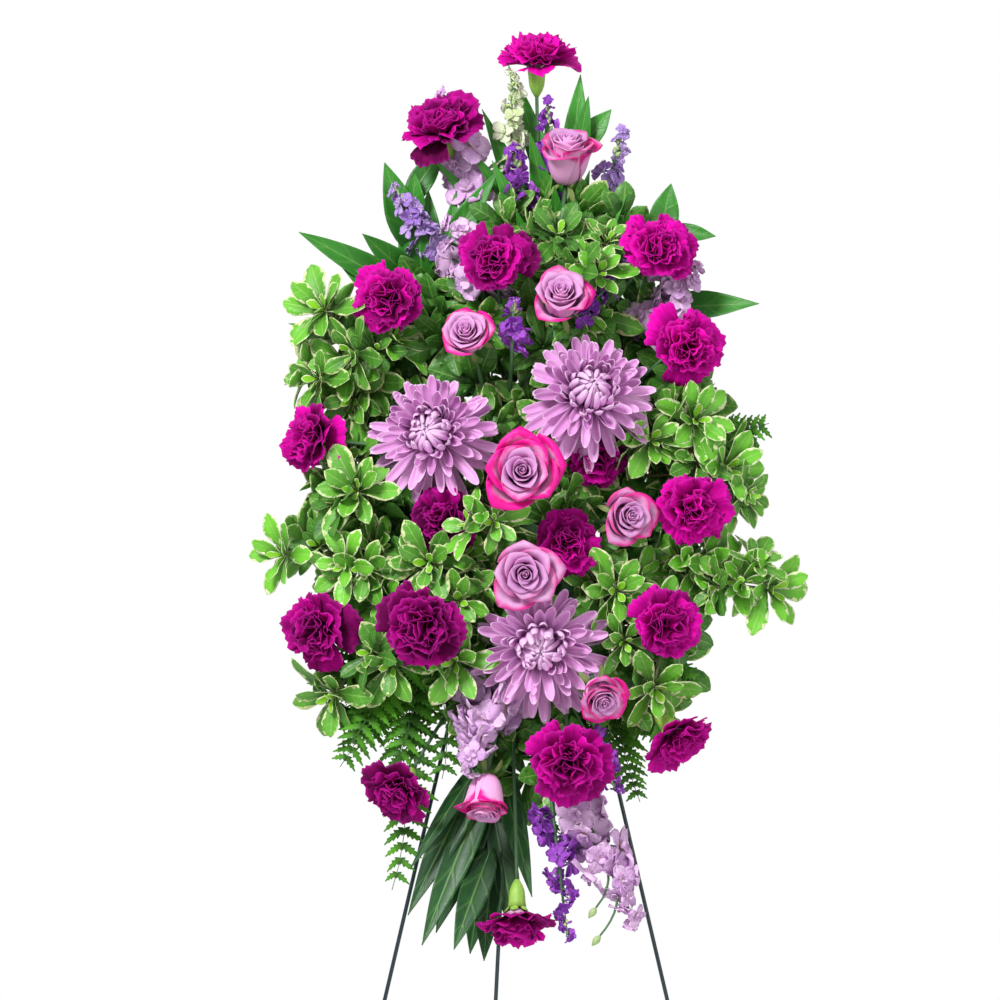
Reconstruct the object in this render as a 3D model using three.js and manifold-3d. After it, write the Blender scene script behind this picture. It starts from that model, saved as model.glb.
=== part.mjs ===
// A standing funeral spray: carnations, roses, disbud chrysanthemums, larkspur, stock and greens, their
// stems pushed into a block of floral foam. A plastic cage holds the foam, and a three-legged wire easel
// holds the cage. Millimetres, +Z up, the front faces -Y. The origin is on the floor at the middle of the
// easel's three feet.

import * as THREE from "three";
import { mergeVertices } from "three/addons/utils/BufferGeometryUtils.js";
import Module from "manifold-3d";

const wasm = await Module();
wasm.setup();

const V3 = THREE.Vector3;
const rad = THREE.MathUtils.degToRad;
const group = new THREE.Group();

// The easel's driving dimensions. A 48 inch wire easel: two front legs that lean back, and a rear leg on a
// hinge.
const EASEL_HEIGHT = 1219;
const WIRE_RADIUS = 2;
const WIRE_SIDES = 8;
const LEG_SPREAD = 0.2274; // how far a front leg runs sideways for each unit of its length
const FRONT_LEAN = rad(12);
const REAR_REACH = 400; // from the hinge back to the rear foot
const REAR_DRIFT = -60; // the rear leg is a little crooked, so its foot is left of the hinge
const HINGE_HALF = 11; // half the distance between the front legs at the hinge bar
const EYE_RADIUS = 5; // of the rear leg's eye round the hinge bar
const ARM_OFFSET = 27; // of the shelf's arms from the middle

// The foam block and the cage round it, in the easel's own sloping plane: u across, v up from the hinge, w
// out.
const FOAM = { halfWidth: 50, top: -12, bottom: -222, back: 6.4, front: 70 };
const FOAM_MIDDLE = (FOAM.top + FOAM.bottom) / 2;
const PORT_DEPTH = 20; // how far each stem goes into the foam
const PORT_GAP = 0.4; // the clearance round a stem in its hole
const FOAM_GAP = 0.4; // between the foam and the cage
const CAGE_WALL = 3;
const TRAY_RIM = 7;
const RIB = 2.6;
const TIE_U = 6.8;
const TIE_RADIUS = 0.7;
const CLEAR = 0.35; // the least gap between two pieces
const SMALLEST = 0.1; // detail smaller than this is smoothed away where pieces are fused

const FRONT_RUN = EASEL_HEIGHT * Math.tan(FRONT_LEAN);
const HINGE = new V3(0, (FRONT_RUN - REAR_REACH) / 2, EASEL_HEIGHT);
const ACROSS = new V3(1, 0, 0);
const UP_SLOPE = new V3(0, Math.sin(FRONT_LEAN), Math.cos(FRONT_LEAN));
const OUTWARD = new V3(0, -Math.cos(FRONT_LEAN), Math.sin(FRONT_LEAN));

// A point of the easel's sloping plane, and a point given by its place in the front view and its distance
// in front.
const onSlope = (u, v, w) =>
  HINGE.clone().addScaledVector(ACROSS, u).addScaledVector(UP_SLOPE, v).addScaledVector(OUTWARD, w);
const inFront = (x, z, out) => new V3(x, HINGE.y - (EASEL_HEIGHT - z) * Math.tan(FRONT_LEAN) - out, z);

// The way a bloom faces: turn is to the right and lift is up, both from straight ahead.
function facing(turn, lift) {
  const level = Math.cos(rad(lift));
  return new V3(Math.sin(rad(turn)) * level, -Math.cos(rad(turn)) * level, Math.sin(rad(lift)));
}

// Two axes square to a direction, which place a bloom's own x and y.
function squareTo(axis) {
  const helper = Math.abs(axis.z) > 0.9 ? new V3(0, 1, 0) : new V3(0, 0, 1);
  const x = new V3().crossVectors(helper, axis).normalize();
  return [x, new V3().crossVectors(axis, x)];
}

// A solid lofted through rings of points that all run the same way round. Neighbouring rings may have
// different numbers of points, and a ring of one point closes an end.
function loft(rings) {
  const starts = rings.map((_, i) => rings.slice(0, i).reduce((sum, ring) => sum + ring.length, 0));
  const faces = [];
  for (let i = 0; i + 1 < rings.length; i++) {
    const [n, m] = [rings[i].length, rings[i + 1].length];
    const low = (k) => starts[i] + (k % n);
    const high = (k) => starts[i + 1] + (k % m);
    for (let j = 0, k = 0; j < n || k < m; ) {
      const first = m === 1 || (n > 1 && (k >= m || (j < n && (j + 1) * m <= (k + 1) * n)));
      if (first) {
        faces.push([low(j), low(j + 1), high(k)]);
        j += 1;
      } else {
        faces.push([low(j), high(k + 1), high(k)]);
        k += 1;
      }
      if ((m === 1 && j >= n) || (n === 1 && k >= m)) break;
    }
  }
  const end = starts.at(-1);
  for (let j = 1; j + 1 < rings[0].length; j++) faces.push([0, j + 1, j]);
  for (let j = 1; j + 1 < rings.at(-1).length; j++) faces.push([end, end + j, end + j + 1]);
  return solidFrom(rings.flat(), faces);
}

// A solid from its points and faces, which all turn the same way: they are turned round if they face
// inwards.
function solidFrom(points, faces) {
  const make = (list) =>
    new wasm.Manifold(
      new wasm.Mesh({
        numProp: 3,
        vertProperties: new Float32Array(points.flatMap((p) => [p.x, p.y, p.z])),
        triVerts: new Uint32Array(list.flat()),
      }),
    );
  const made = make(faces);
  return made.volume() > 0 ? made : make(faces.map(([a, b, c]) => [a, c, b]));
}

// A three.js geometry as a solid.
function solidOf(geometry, matrix = new THREE.Matrix4()) {
  const bare = geometry.clone().applyMatrix4(matrix);
  bare.deleteAttribute("normal");
  bare.deleteAttribute("uv");
  const merged = mergeVertices(bare, 1e-3);
  return new wasm.Manifold(
    new wasm.Mesh({
      numProp: 3,
      vertProperties: merged.attributes.position.array,
      triVerts: new Uint32Array(merged.index.array),
    }),
  );
}

const unite = (solids) => wasm.Manifold.union(solids);

// Every finished solid, with its box, so that what comes later can be kept clear of it.
const placed = [];

function boxOf(solid) {
  const b = solid.boundingBox();
  return new THREE.Box3(new V3(...b.min), new V3(...b.max));
}

function isClear(solid, ...own) {
  const box = boxOf(solid).expandByScalar(CLEAR);
  return placed.every(
    (p) => own.includes(p.name) || !p.box.intersectsBox(box) || solid.minGap(p.solid, 2 * CLEAR) > CLEAR,
  );
}

const keepClearOf = (name, solid) => placed.push({ name, solid, box: boxOf(solid) });

// The rings of a tube through points, with a radius at each. They keep in step with the axes at the last
// point.
function tubeRings(points, radii, sides, axes = null) {
  const last = points.length - 1;
  let [x, y] = axes ?? squareTo(points[last].clone().sub(points[last - 1]).normalize());
  const rings = [];
  for (let i = last; i >= 0; i--) {
    const way = points[Math.min(i + 1, last)].clone().sub(points[Math.max(i - 1, 0)]).normalize();
    x = x.clone().addScaledVector(way, -x.dot(way)).normalize();
    y = new V3().crossVectors(way, x);
    rings.unshift(
      Array.from({ length: sides }, (_, k) => {
        const a = (2 * Math.PI * k) / sides;
        return points[i]
          .clone()
          .addScaledVector(x, radii[i] * Math.cos(a))
          .addScaledVector(y, radii[i] * Math.sin(a));
      }),
    );
  }
  return rings;
}

const tube = (points, radii, sides) => loft(tubeRings(points, radii, sides));

// The straight runs between a tube's points, as one line that is measured along its length.
function lineThrough(points) {
  const line = new THREE.CurvePath();
  for (let i = 1; i < points.length; i++) line.add(new THREE.LineCurve3(points[i - 1], points[i]));
  return line;
}

const LEAF_THICK = 1.8;

// A leaf or petal from base to tip. Each station is [share of the length, half width, rise of its edges],
// and the blade is three-cornered in section: two thin edges, and a rib underneath that is thick below
// them.
function blade(base, along, outward, length, stations, thick) {
  const side = new V3().crossVectors(along, outward).normalize();
  const up = new V3().crossVectors(side, along).normalize();
  const spot = (t, s, h) =>
    base.clone().addScaledVector(along, t * length).addScaledVector(side, s).addScaledVector(up, h);
  return loft(
    stations.map(([t, half, rise]) =>
      half === 0
        ? [spot(t, 0, rise)]
        : [spot(t, half, rise), spot(t, -half, rise), spot(t, 0, rise - thick)],
    ),
  );
}

// A star of petals or leaves about an axis, on a stalk given by its rings. Its rim is a list of [distance
// out, angle, height], and its face rises to a point on the axis.
function star(foot, centre, axis, rim, front) {
  const [x, y] = squareTo(axis);
  const ring = rim.map(([out, angle, up]) =>
    centre
      .clone()
      .addScaledVector(x, out * Math.cos(angle))
      .addScaledVector(y, out * Math.sin(angle))
      .addScaledVector(axis, up),
  );
  return loft([...foot, ring, [centre.clone().addScaledVector(axis, front)]]);
}

// Materials, one for each kind of surface.
const paint = (color, roughness, metalness = 0) =>
  new THREE.MeshStandardMaterial({ color, roughness, metalness });
const MATERIALS = {
  wire: paint(0x1f3a33, 0.4, 0.3),
  cage: paint(0x2c5a35, 0.5),
  foam: paint(0x3d6b45, 0.95),
  tie: paint(0x2a5230, 0.5),
  carnation: paint(0xa8087f, 0.7),
  rose: paint(0xc98ac2, 0.6),
  mum: paint(0xc58fcb, 0.65),
  larkspur: paint(0x8a3fc0, 0.65),
  stock: paint(0xc9a0d6, 0.65),
  ruscus: paint(0x2f6b2c, 0.35),
  pittosporum: paint(0x5d8f45, 0.5),
  fern: paint(0x3b7d2e, 0.5),
};

function addNode(name, solid, material) {
  const mesh = solid.getMesh();
  const count = mesh.vertProperties.length / mesh.numProp;
  const positions = new Float32Array(count * 3);
  for (let i = 0; i < count; i++)
    positions.set(mesh.vertProperties.subarray(i * mesh.numProp, i * mesh.numProp + 3), i * 3);
  const geometry = new THREE.BufferGeometry()
    .setAttribute("position", new THREE.BufferAttribute(positions, 3))
    .setIndex(new THREE.BufferAttribute(new Uint32Array(mesh.triVerts), 1));
  geometry.computeVertexNormals();
  const made = new THREE.Mesh(geometry, MATERIALS[material]);
  made.name = name;
  group.add(made);
}

// One body made of the pieces that hold together. A loose scrap is dropped.
function fuse(solids) {
  const bodies = unite(solids).decompose();
  return bodies.reduce((a, b) => (b.volume() > a.volume() ? b : a)).simplify(SMALLEST);
}

// Where the stems go into the foam. Ports stand in rows on its front, sides, top and bottom, so far from
// the edges that no two holes meet inside. Each stem takes the free port that suits its neck best, so stems
// fan out evenly.
const ports = [];
const ROW_TOP = FOAM.top - 30;
const ROW_PITCH = 15;
const ROWS = 11;
const COLUMNS = [-36, -18, 0, 18, 36];
const LEVELS = [20, 35, 50];

function addPort(u, v, w, normal) {
  ports.push({ point: onSlope(u, v, w), normal, taken: false });
}

for (let row = 0; row < ROWS; row++) {
  const v = ROW_TOP - row * ROW_PITCH;
  for (const u of COLUMNS) addPort(u, v, FOAM.front, OUTWARD);
  for (const w of LEVELS) {
    addPort(-FOAM.halfWidth, v, w, ACROSS.clone().negate());
    addPort(FOAM.halfWidth, v, w, ACROSS);
  }
}
for (const u of COLUMNS)
  for (const w of LEVELS) {
    addPort(u, FOAM.top, w, UP_SLOPE);
    addPort(u, FOAM.bottom, w, UP_SLOPE.clone().negate());
  }

const TURN_COST = 70; // how many millimetres of way a stem goes round rather than turn sharply at the foam
const DIRECT = 0.45; // how much a stem in the foam leans towards its bloom rather than square to the face
const CHOICES = 6;

function freePorts(neck) {
  const cost = (port) => {
    const way = neck.clone().sub(port.point);
    return way.length() + TURN_COST * (1 - way.clone().normalize().dot(port.normal));
  };
  return ports
    .filter((port) => !port.taken)
    .sort((p, q) => cost(p) - cost(q))
    .slice(0, CHOICES);
}

// The line of a stem from inside its hole in the foam to its neck, where it takes the bloom's own
// direction. bow pushes the middle sideways to pass a neighbour.
const STEM_STEPS = 2;
const STEM_SIDES = 4;
const STRAIGHT = 6; // how far a stem goes straight on outside the foam

function stemCurve(port, neck, axis, bow) {
  const way = neck.clone().sub(port.point).normalize();
  const lean = port.normal.clone().multiplyScalar(1 - DIRECT).addScaledVector(way, DIRECT).normalize();
  const reach = port.point.distanceTo(neck);
  const inner = port.point.clone().addScaledVector(lean, -PORT_DEPTH);
  const curve = new THREE.CubicBezierCurve3(
    port.point.clone().addScaledVector(lean, STRAIGHT),
    port.point.clone().addScaledVector(lean, STRAIGHT + reach * 0.35).add(bow),
    neck.clone().addScaledVector(axis, -reach * 0.35).add(bow),
    neck,
  );
  return { inner, curve };
}

// Sideways bows that a stem tries, in order, until it passes everything. Each is [across, up].
const BOWS = [[0, 0]];
for (const far of [12, 24, 36])
  for (const way of [-90, 0, 180, 90, -45, -135, 45, 135])
    BOWS.push([far * Math.cos(rad(way)), far * Math.sin(rad(way))]);

// Leads a stem from a free port to its neck, clear of all that is placed. It returns the stem's curve, the
// line of its faceted tube outside the foam, and the tube's points and radii from the inner end.
function leadStem(name, neck, axis, thick, thin) {
  for (const port of freePorts(neck))
    for (const [u, v] of BOWS) {
      const bow = ACROSS.clone().multiplyScalar(u).addScaledVector(UP_SLOPE, v);
      const { inner, curve } = stemCurve(port, neck, axis, bow);
      const open = curve.getPoints(STEM_STEPS);
      const radii = [thick, ...open.map((_, i) => thick + ((thin - thick) * i) / STEM_STEPS)];
      const whole = tube([inner, ...open], radii, STEM_SIDES);
      if (!isClear(whole, name, "foam_block", "foam_cage")) continue;
      if (!isClear(tube(open, radii.slice(1), STEM_SIDES), name)) continue;
      port.taken = true;
      drill(inner, open[0], thick);
      return { curve, line: lineThrough(open), points: [inner, ...open], radii, solid: whole };
    }
  throw new Error("there is no clear way for the stem of " + name);
}

// A twig or a second stem that leaves a stem already led, at a share of its length.
function leadBranch(name, stem, share, neck, axis, thick, thin) {
  const root = stem.line.getPoint(share);
  const reach = root.distanceTo(neck);
  for (const [u, v] of BOWS) {
    const bow = ACROSS.clone().multiplyScalar(u).addScaledVector(UP_SLOPE, v);
    const curve = new THREE.CubicBezierCurve3(
      root,
      root.clone().addScaledVector(stem.line.getTangent(share), reach * 0.3).add(bow),
      neck.clone().addScaledVector(axis, -reach * 0.35).add(bow),
      neck,
    );
    const points = curve.getPoints(2);
    const radii = [thick, (thick + thin) / 2, thin];
    const solid = tube(points, radii, STEM_SIDES);
    if (isClear(solid, name)) return { curve, line: lineThrough(points), points, radii, solid };
  }
  return null;
}

// The holes that the stems stand in. Each is cut from the foam, and from the cage where a rib is in the
// way.
const holes = [];

function drill(inner, outer, radius) {
  const way = outer.clone().sub(inner).normalize();
  const ends = [inner.clone().addScaledVector(way, -PORT_GAP), outer.clone().addScaledVector(way, 3)];
  const wide = (radius + PORT_GAP) / Math.cos(Math.PI / STEM_SIDES);
  holes.push(tube(ends, [wide, wide], STEM_SIDES));
}

// The blooms. Each row is [name, x, height, distance in front of the easel, diameter, turn, lift].
const CARNATIONS = [
  ["carnation_01", 11, 1554, 55, 74, 0, 72],
  ["carnation_02", -86, 1484, 80, 76, -25, 48],
  ["carnation_03", -33, 1349, 160, 70, -3, 8],
  ["carnation_04", -138, 1310, 135, 70, -15, 6],
  ["carnation_05", 132, 1361, 125, 70, 16, 18],
  ["carnation_06", 162, 1263, 130, 75, 20, 4],
  ["carnation_07", -213, 1171, 100, 72, -52, 6],
  ["carnation_08", -81, 1089, 130, 66, -8, 0],
  ["carnation_09", 70, 1150, 112, 60, 8, -8],
  ["carnation_10", 40, 1066, 138, 68, 6, -2],
  ["carnation_11", 167, 1101, 135, 75, 22, 0],
  ["carnation_12", -104, 982, 160, 82, -11, -5],
  ["carnation_13", -208, 979, 102, 76, -42, -6],
  ["carnation_14", 139, 985, 135, 75, 20, -8],
  ["carnation_15", -128, 818, 95, 64, -28, -35],
  ["carnation_16", 44, 847, 136, 85, 3, -17],
  ["carnation_17", 150, 872, 95, 74, 50, -48],
  ["carnation_18", -9, 690, 76, 72, 0, -78],
];
const ROSES = [
  ["rose_01", 42, 1463, 102, 66, 6, 62],
  ["rose_02", 35, 1314, 172, 68, 2, 32],
  ["rose_03", -60, 1276, 165, 62, -10, 25],
  ["rose_04", -4, 1138, 200, 92, 0, 5],
  ["rose_05", 102, 1093, 165, 64, 22, 4],
  ["rose_06", -1, 1035, 198, 77, 0, -2],
  ["rose_07", 76, 911, 172, 60, 16, -28],
  ["rose_08", -41, 803, 115, 57, -8, -66],
];
const MUMS = [
  ["chrysanthemum_01", -96, 1177, 152, 126, -14, 5],
  ["chrysanthemum_02", 65, 1220, 165, 130, 8, 18],
  ["chrysanthemum_03", 14, 961, 147, 134, 0, -13],
];

// A carnation: three ruffled frills one above the other, raised by a formula, over a green calyx. Each row
// is the ring's radius, its height, and how far its pleats stand in and out and up and down, all as shares
// of the radius.
const PLEATS = 6;
const FRILLS = [
  [0.5, -0.22, 0.02, 0.02],
  [0.98, 0.02, 0.08, 0.1],
  [0.68, 0.12, -0.06, -0.02],
  [0.78, 0.37, 0.09, 0.07],
  [0.4, 0.32, 0.05, 0.02],
  [0.44, 0.58, -0.1, -0.05],
];
const FRILL_TOP = 0.42;
const CALYX = { length: 27, top: 8, middle: 6.5, neck: 2.6 };

// Gives a function that places a point by its distance out, its angle and its height, as shares of a
// bloom's radius.
function bloomSpace(centre, axis, r) {
  const [x, y] = squareTo(axis);
  return (out, angle, up) =>
    centre
      .clone()
      .addScaledVector(x, out * r * Math.cos(angle))
      .addScaledVector(y, out * r * Math.sin(angle))
      .addScaledVector(axis, up * r);
}

function carnation(centre, axis, diameter) {
  const r = diameter / 2;
  const spot = bloomSpace(centre, axis, r);
  const frills = FRILLS.map(([out, up, waveOut, waveUp]) =>
    Array.from({ length: 2 * PLEATS }, (_, k) => {
      const wave = k % 2 ? -1 : 1;
      return spot(out + wave * waveOut, (k * Math.PI) / PLEATS, up + wave * waveUp);
    }),
  );
  const foot = -0.34 * r;
  const calyx = [
    [foot - CALYX.length, CALYX.neck],
    [foot - 0.6 * CALYX.length, CALYX.middle],
    [foot, CALYX.top],
  ];
  return { calyx, rings: [...frills, [spot(0, 0, FRILL_TOP)]] };
}

// A rose: petals in layers, each with its rim above a valley, round a wound bud. Each row is the ring's
// radius and height, how far its petals' gaps are drawn in and down, and the step by which its petals are
// turned from the last.
const ROSE_POINTS = 15; // three for each of a layer's five petals
const ROSE_RINGS = [
  [0.5, -0.66, 0, 0, 0],
  [1.0, 0.04, 0.16, 0.05, 0],
  [0.74, -0.06, 0, 0, 0],
  [0.78, 0.27, 0.14, 0.07, 1],
  [0.53, 0.12, 0, 0, 1],
  [0.55, 0.4, 0.1, 0.07, 2],
  [0.34, 0.25, 0, 0, 2],
  [0.32, 0.47, 0.07, 0.05, 0],
  [0.14, 0.34, 0, 0, 0],
];
const ROSE_TOP = 0.42;
const HIP = { length: 14, top: 6.5, middle: 5, neck: 3 };

function rose(centre, axis, diameter) {
  const r = diameter / 2;
  const spot = bloomSpace(centre, axis, r);
  const rings = ROSE_RINGS.map(([out, up, inward, down, turn]) =>
    Array.from({ length: ROSE_POINTS }, (_, k) => {
      const gap = (k + turn) % 3 === 0 ? 1 : 0;
      return spot(out - gap * inward, (2 * Math.PI * k) / ROSE_POINTS, up - gap * down);
    }),
  );
  const foot = -0.8 * r;
  const calyx = [
    [foot - HIP.length, HIP.neck],
    [foot - 0.5 * HIP.length, HIP.middle],
    [foot, HIP.top],
  ];
  return { calyx, rings: [...rings, [spot(0, 0, ROSE_TOP)]] };
}

// A disbud chrysanthemum: strap petals in rings round a domed heart, the outer ones long and drooping and
// the inner ones short and curled in. Each ring is [petals, length, angle above the bloom's plane, how far
// the tips curl].
const MUM_RINGS = [
  [11, 1.02, -14, -0.05],
  [9, 0.86, 12, 0.06],
  [6, 0.66, 38, 0.1],
  [3, 0.46, 68, 0.12],
];
const MUM_HEART = [
  [0.2, -0.42],
  [0.3, -0.2],
  [0.26, 0.0],
  [0.1, 0.1],
];
const MUM_SIDES = 6;

function chrysanthemum(centre, axis, diameter) {
  const r = diameter / 2;
  const spot = bloomSpace(centre, axis, r);
  const heart = MUM_HEART.map(([out, up]) =>
    Array.from({ length: MUM_SIDES }, (_, k) => spot(out, (2 * Math.PI * k) / MUM_SIDES, up)),
  );
  const petals = MUM_RINGS.flatMap(([count, length, above, curl], level) =>
    Array.from({ length: count }, (_, k) => {
      const angle = (2 * Math.PI * (k + 0.5 * (level % 2))) / count;
      const root = spot(0.1, angle, -0.3 + 0.1 * level);
      const flat = spot(1, angle, 0).sub(spot(0, 0, 0)).normalize();
      const [run, climb] = [Math.cos(rad(above)), Math.sin(rad(above))];
      const along = flat.clone().multiplyScalar(run).addScaledVector(axis, climb);
      const up = axis.clone().multiplyScalar(run).addScaledVector(flat, -climb);
      const half = r * (0.1 - 0.008 * level);
      const reach = (length - 0.1) * r;
      const stations = [[0, 1, 0], [0.7, half, 1], [1, 0, curl * r + 1]];
      return blade(root, along, up, reach, stations, LEAF_THICK);
    }),
  );
  const foot = -0.42 * r;
  const calyx = [[foot - 9, 3.2], [foot - 3, 8]];
  return { calyx, rings: heart, petals };
}

// Larkspur and stock: a stem whose upper part carries florets in a spiral, smaller towards the tip. A spike
// is [x, height, distance in front, turn, lift, share of the stem that is bare, florets, floret radius].
const LARKSPUR = [
  ["larkspur_01", [-14, 1537, 58, 0, 78, 0.56, 6, 17]],
  ["larkspur_02", [22, 1507, 66, 12, 70, 0.56, 5, 17]],
  ["larkspur_03", [96, 1479, 68, 22, 62, 0.6, 5, 16]],
  ["larkspur_04", [-131, 1422, 86, -35, 48, 0.6, 5, 17]],
  ["larkspur_05", [-12, 1307, 174, 0, 60, 0.5, 4, 15], [101, 1346, 132, 20, 58, 0.5, 5, 12]],
  ["larkspur_06", [41, 674, 85, 8, -80, 0.58, 6, 17], [89, 822, 108, 20, -70, 0.55, 4, 17]],
];
const STOCK = [
  ["stock_01", [-76, 1512, 58, -25, 62, 0.62, 6, 21]],
  ["stock_02", [-72, 1384, 124, -10, 62, 0.4, 6, 21]],
  ["stock_03", [164, 1337, 100, 45, 38, 0.5, 6, 21]],
  ["stock_04", [-55, 845, 130, -15, -62, 0.42, 7, 22], [106, 693, 80, 12, -76, 0.55, 7, 21]],
];
const GOLDEN = rad(137.5);

const THROAT = 3.2; // the length of a floret's narrow tube, from the middle of its stem

// A floret: lobes round a throat whose root is sunk in the stem.
function floret(root, axis, radius, lobes, notch) {
  const rim = Array.from({ length: 2 * lobes }, (_, k) => [
    radius * (k % 2 ? notch : 1),
    (Math.PI * k) / lobes,
    radius * (k % 2 ? 0.7 : 0.95),
  ]);
  const throat = [root, root.clone().addScaledVector(axis, THROAT)];
  return star(tubeRings(throat, [0.8, 0.8], 3, squareTo(axis)), root, axis, rim, radius * 0.7);
}

// Each floret tries a few turns round the stem and a few sizes until it is clear of its neighbours.
const FLORET_TRIES = [];
for (const size of [1, 0.84, 0.7])
  for (const turn of [0, 0.5, -0.5, 1]) FLORET_TRIES.push([size, turn]);

function floretsOn(name, line, [, , , , , bare, count, radius], lobes, notch) {
  const made = [];
  for (let k = 0; k < count; k++) {
    const share = (k + 0.5) / count;
    const t = bare + (1 - bare) * share;
    const way = line.getTangent(t);
    const root = line.getPoint(t);
    const [x, y] = squareTo(way);
    for (const [size, turn] of FLORET_TRIES) {
      const angle = k * GOLDEN + turn;
      const axis = way
        .clone()
        .multiplyScalar(0.35 + 0.5 * share)
        .addScaledVector(x, Math.cos(angle))
        .addScaledVector(y, Math.sin(angle))
        .normalize();
      const wide = radius * (1 - 0.6 * share * share) * size;
      const piece = floret(root, axis, wide, lobes, notch);
      const cup = floret(root.clone().addScaledVector(axis, 0.3 * wide), axis, 0.9 * wide, lobes, notch);
      if (!isClear(piece, name) || made.some((other) => other.minGap(cup, 1) < CLEAR)) continue;
      made.push(piece);
      break;
    }
  }
  return made;
}

// Ruscus: a wiry stem with large pointed leaves. A row is the stem's tip, then each leaf as [share along
// the stem, x, height and distance in front of the leaf's own tip, half its width].
const RUSCUS = [
  ["ruscus_01", [57, 1487, 33, 20, 70],
    [[0.72, 55, 1537, 43, 13], [0.8, 63, 1515, 54, 10], [0.9, 86, 1502, 40, 12], [0.6, -18, 1548, 27, 12],
      [0.42, 29, 1424, 100, 13], [0.42, -62, 1468, 45, 12], [0.36, -93, 1452, 60, 11]]],
  ["ruscus_02", [-123, 1416, 48, -40, 45],
    [[0.55, -228, 1378, 72, 15], [0.75, -142, 1448, 72, 17], [0.85, -111, 1437, 62, 13],
      [0.6, -164, 1376, 100, 15], [0.95, -84, 1462, 45, 13], [0.6, -28, 1440, 70, 14],
      [0.35, -240, 1308, 62, 13], [0.28, -238, 1286, 80, 12]]],
  ["ruscus_03", [143, 1402, 48, 38, 45],
    [[0.85, 146, 1427, 52, 15], [0.6, 86, 1407, 64, 13], [0.9, 191, 1374, 52, 10],
      [0.55, 234, 1306, 80, 16], [0.45, 165, 1306, 42, 14]]],
  ["ruscus_04", [-33, 724, 43, -5, -78],
    [[0.5, -118, 694, 60, 16], [0.6, -104, 664, 66, 16], [0.85, -42, 648, 64, 15], [0.72, -8, 662, 50, 14],
      [0.5, -116, 740, 84, 9], [0.85, -72, 660, 80, 15], [0.45, 6, 712, 60, 13]]],
];

function ruscusLeaf(root, tip, half, upward) {
  const along = tip.clone().sub(root);
  const length = along.length();
  along.normalize();
  const face = new V3(0, -1, 0.3).addScaledVector(UP_SLOPE, upward);
  const stations = [[0, 0.9, 0], [0.38, half, 3], [0.7, half * 0.8, 3], [1, 0, -2]];
  return blade(root, along, face, length, stations, LEAF_THICK);
}

// Variegated pittosporum: woody twigs that end in whorls of blunt leaves. A row is the main twig's whorl,
// then the side whorls. A whorl is [x, height, distance in front, turn, lift, leaf length] and, for a side
// twig, the share of the main twig at which it leaves.
const PITTOSPORUM = [
  ["pittosporum_01", [-201, 1299, 106, -35, 25, 40],
    [[-150, 1258, 112, -10, 5, 40, 0.62], [-206, 1230, 90, -45, 0, 37, 0.5],
      [-172, 1212, 74, -20, -10, 36, 0.45]]],
  ["pittosporum_02", [-240, 1054, 86, -50, 0, 38],
    [[-168, 1117, 118, -20, 10, 42, 0.55], [-160, 1040, 112, -15, -5, 38, 0.62],
      [-206, 1062, 74, -30, 10, 36, 0.8], [-186, 1150, 80, -35, 25, 36, 0.4]]],
  ["pittosporum_03", [-192, 916, 74, -35, -35, 42],
    [[-142, 1014, 100, -20, 0, 38, 0.4], [-134, 946, 112, -10, -20, 38, 0.6]]],
  ["pittosporum_04", [-70, 949, 128, -12, -15, 38],
    [[-96, 1046, 134, -15, 0, 40, 0.3], [-32, 1088, 172, -5, 0, 40, 0.05],
      [-68, 1008, 134, 0, 0, 34, 0.6]]],
  ["pittosporum_05", [80, 1366, 124, 10, 40, 38],
    [[32, 1372, 128, 0, 40, 36, 0.7], [72, 1336, 140, 10, 20, 36, 0.75], [68, 1282, 96, 10, 0, 31, 0.4]]],
  ["pittosporum_06", [198, 1140, 92, 40, 5, 40],
    [[168, 1188, 108, 25, 15, 40, 0.7], [124, 1168, 118, 15, 10, 34, 0.5],
      [208, 1110, 64, 50, 0, 36, 0.8]]],
  ["pittosporum_07", [242, 1020, 86, 45, -5, 40],
    [[168, 1045, 96, 25, 0, 38, 0.6], [216, 1026, 96, 30, -20, 38, 0.85], [90, 1018, 124, 10, 0, 38, 0.2],
      [98, 968, 124, 10, -15, 38, 0.35], [128, 922, 104, 20, -25, 36, 0.4]]],
];
const WHORL_LEAVES = 6;
const WHORL_FOOT = 2.4; // how far below its centre a whorl's leaves leave the twig, and how far out
const LEAF_WIDEST = 0.62; // where a leaf is widest, as a share of its length
const LEAF_ANGLE = 0.36; // half of a leaf's width there, as seen from the twig, in radians

// A whorl of leaves on a twig given by its rings, as one star: each leaf widens from its foot, then comes
// to a blunt point, and every other one is shorter and stands up more.
function whorl(rings, end, axis, length, turn) {
  const rim = [];
  for (let k = 0; k < WHORL_LEAVES; k++) {
    const angle = (2 * Math.PI * k) / WHORL_LEAVES + turn;
    const long = length * (k % 2 ? 0.82 : 1);
    const rise = k % 2 ? 0.5 : 0.16;
    const wide = long * LEAF_WIDEST;
    rim.push([WHORL_FOOT, angle - Math.PI / WHORL_LEAVES, 0.6]);
    rim.push([wide, angle - LEAF_ANGLE, wide * rise]);
    rim.push([long, angle, long * rise]);
    rim.push([wide, angle + LEAF_ANGLE, wide * rise]);
  }
  return star(rings, end, axis, rim, 1);
}

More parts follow.
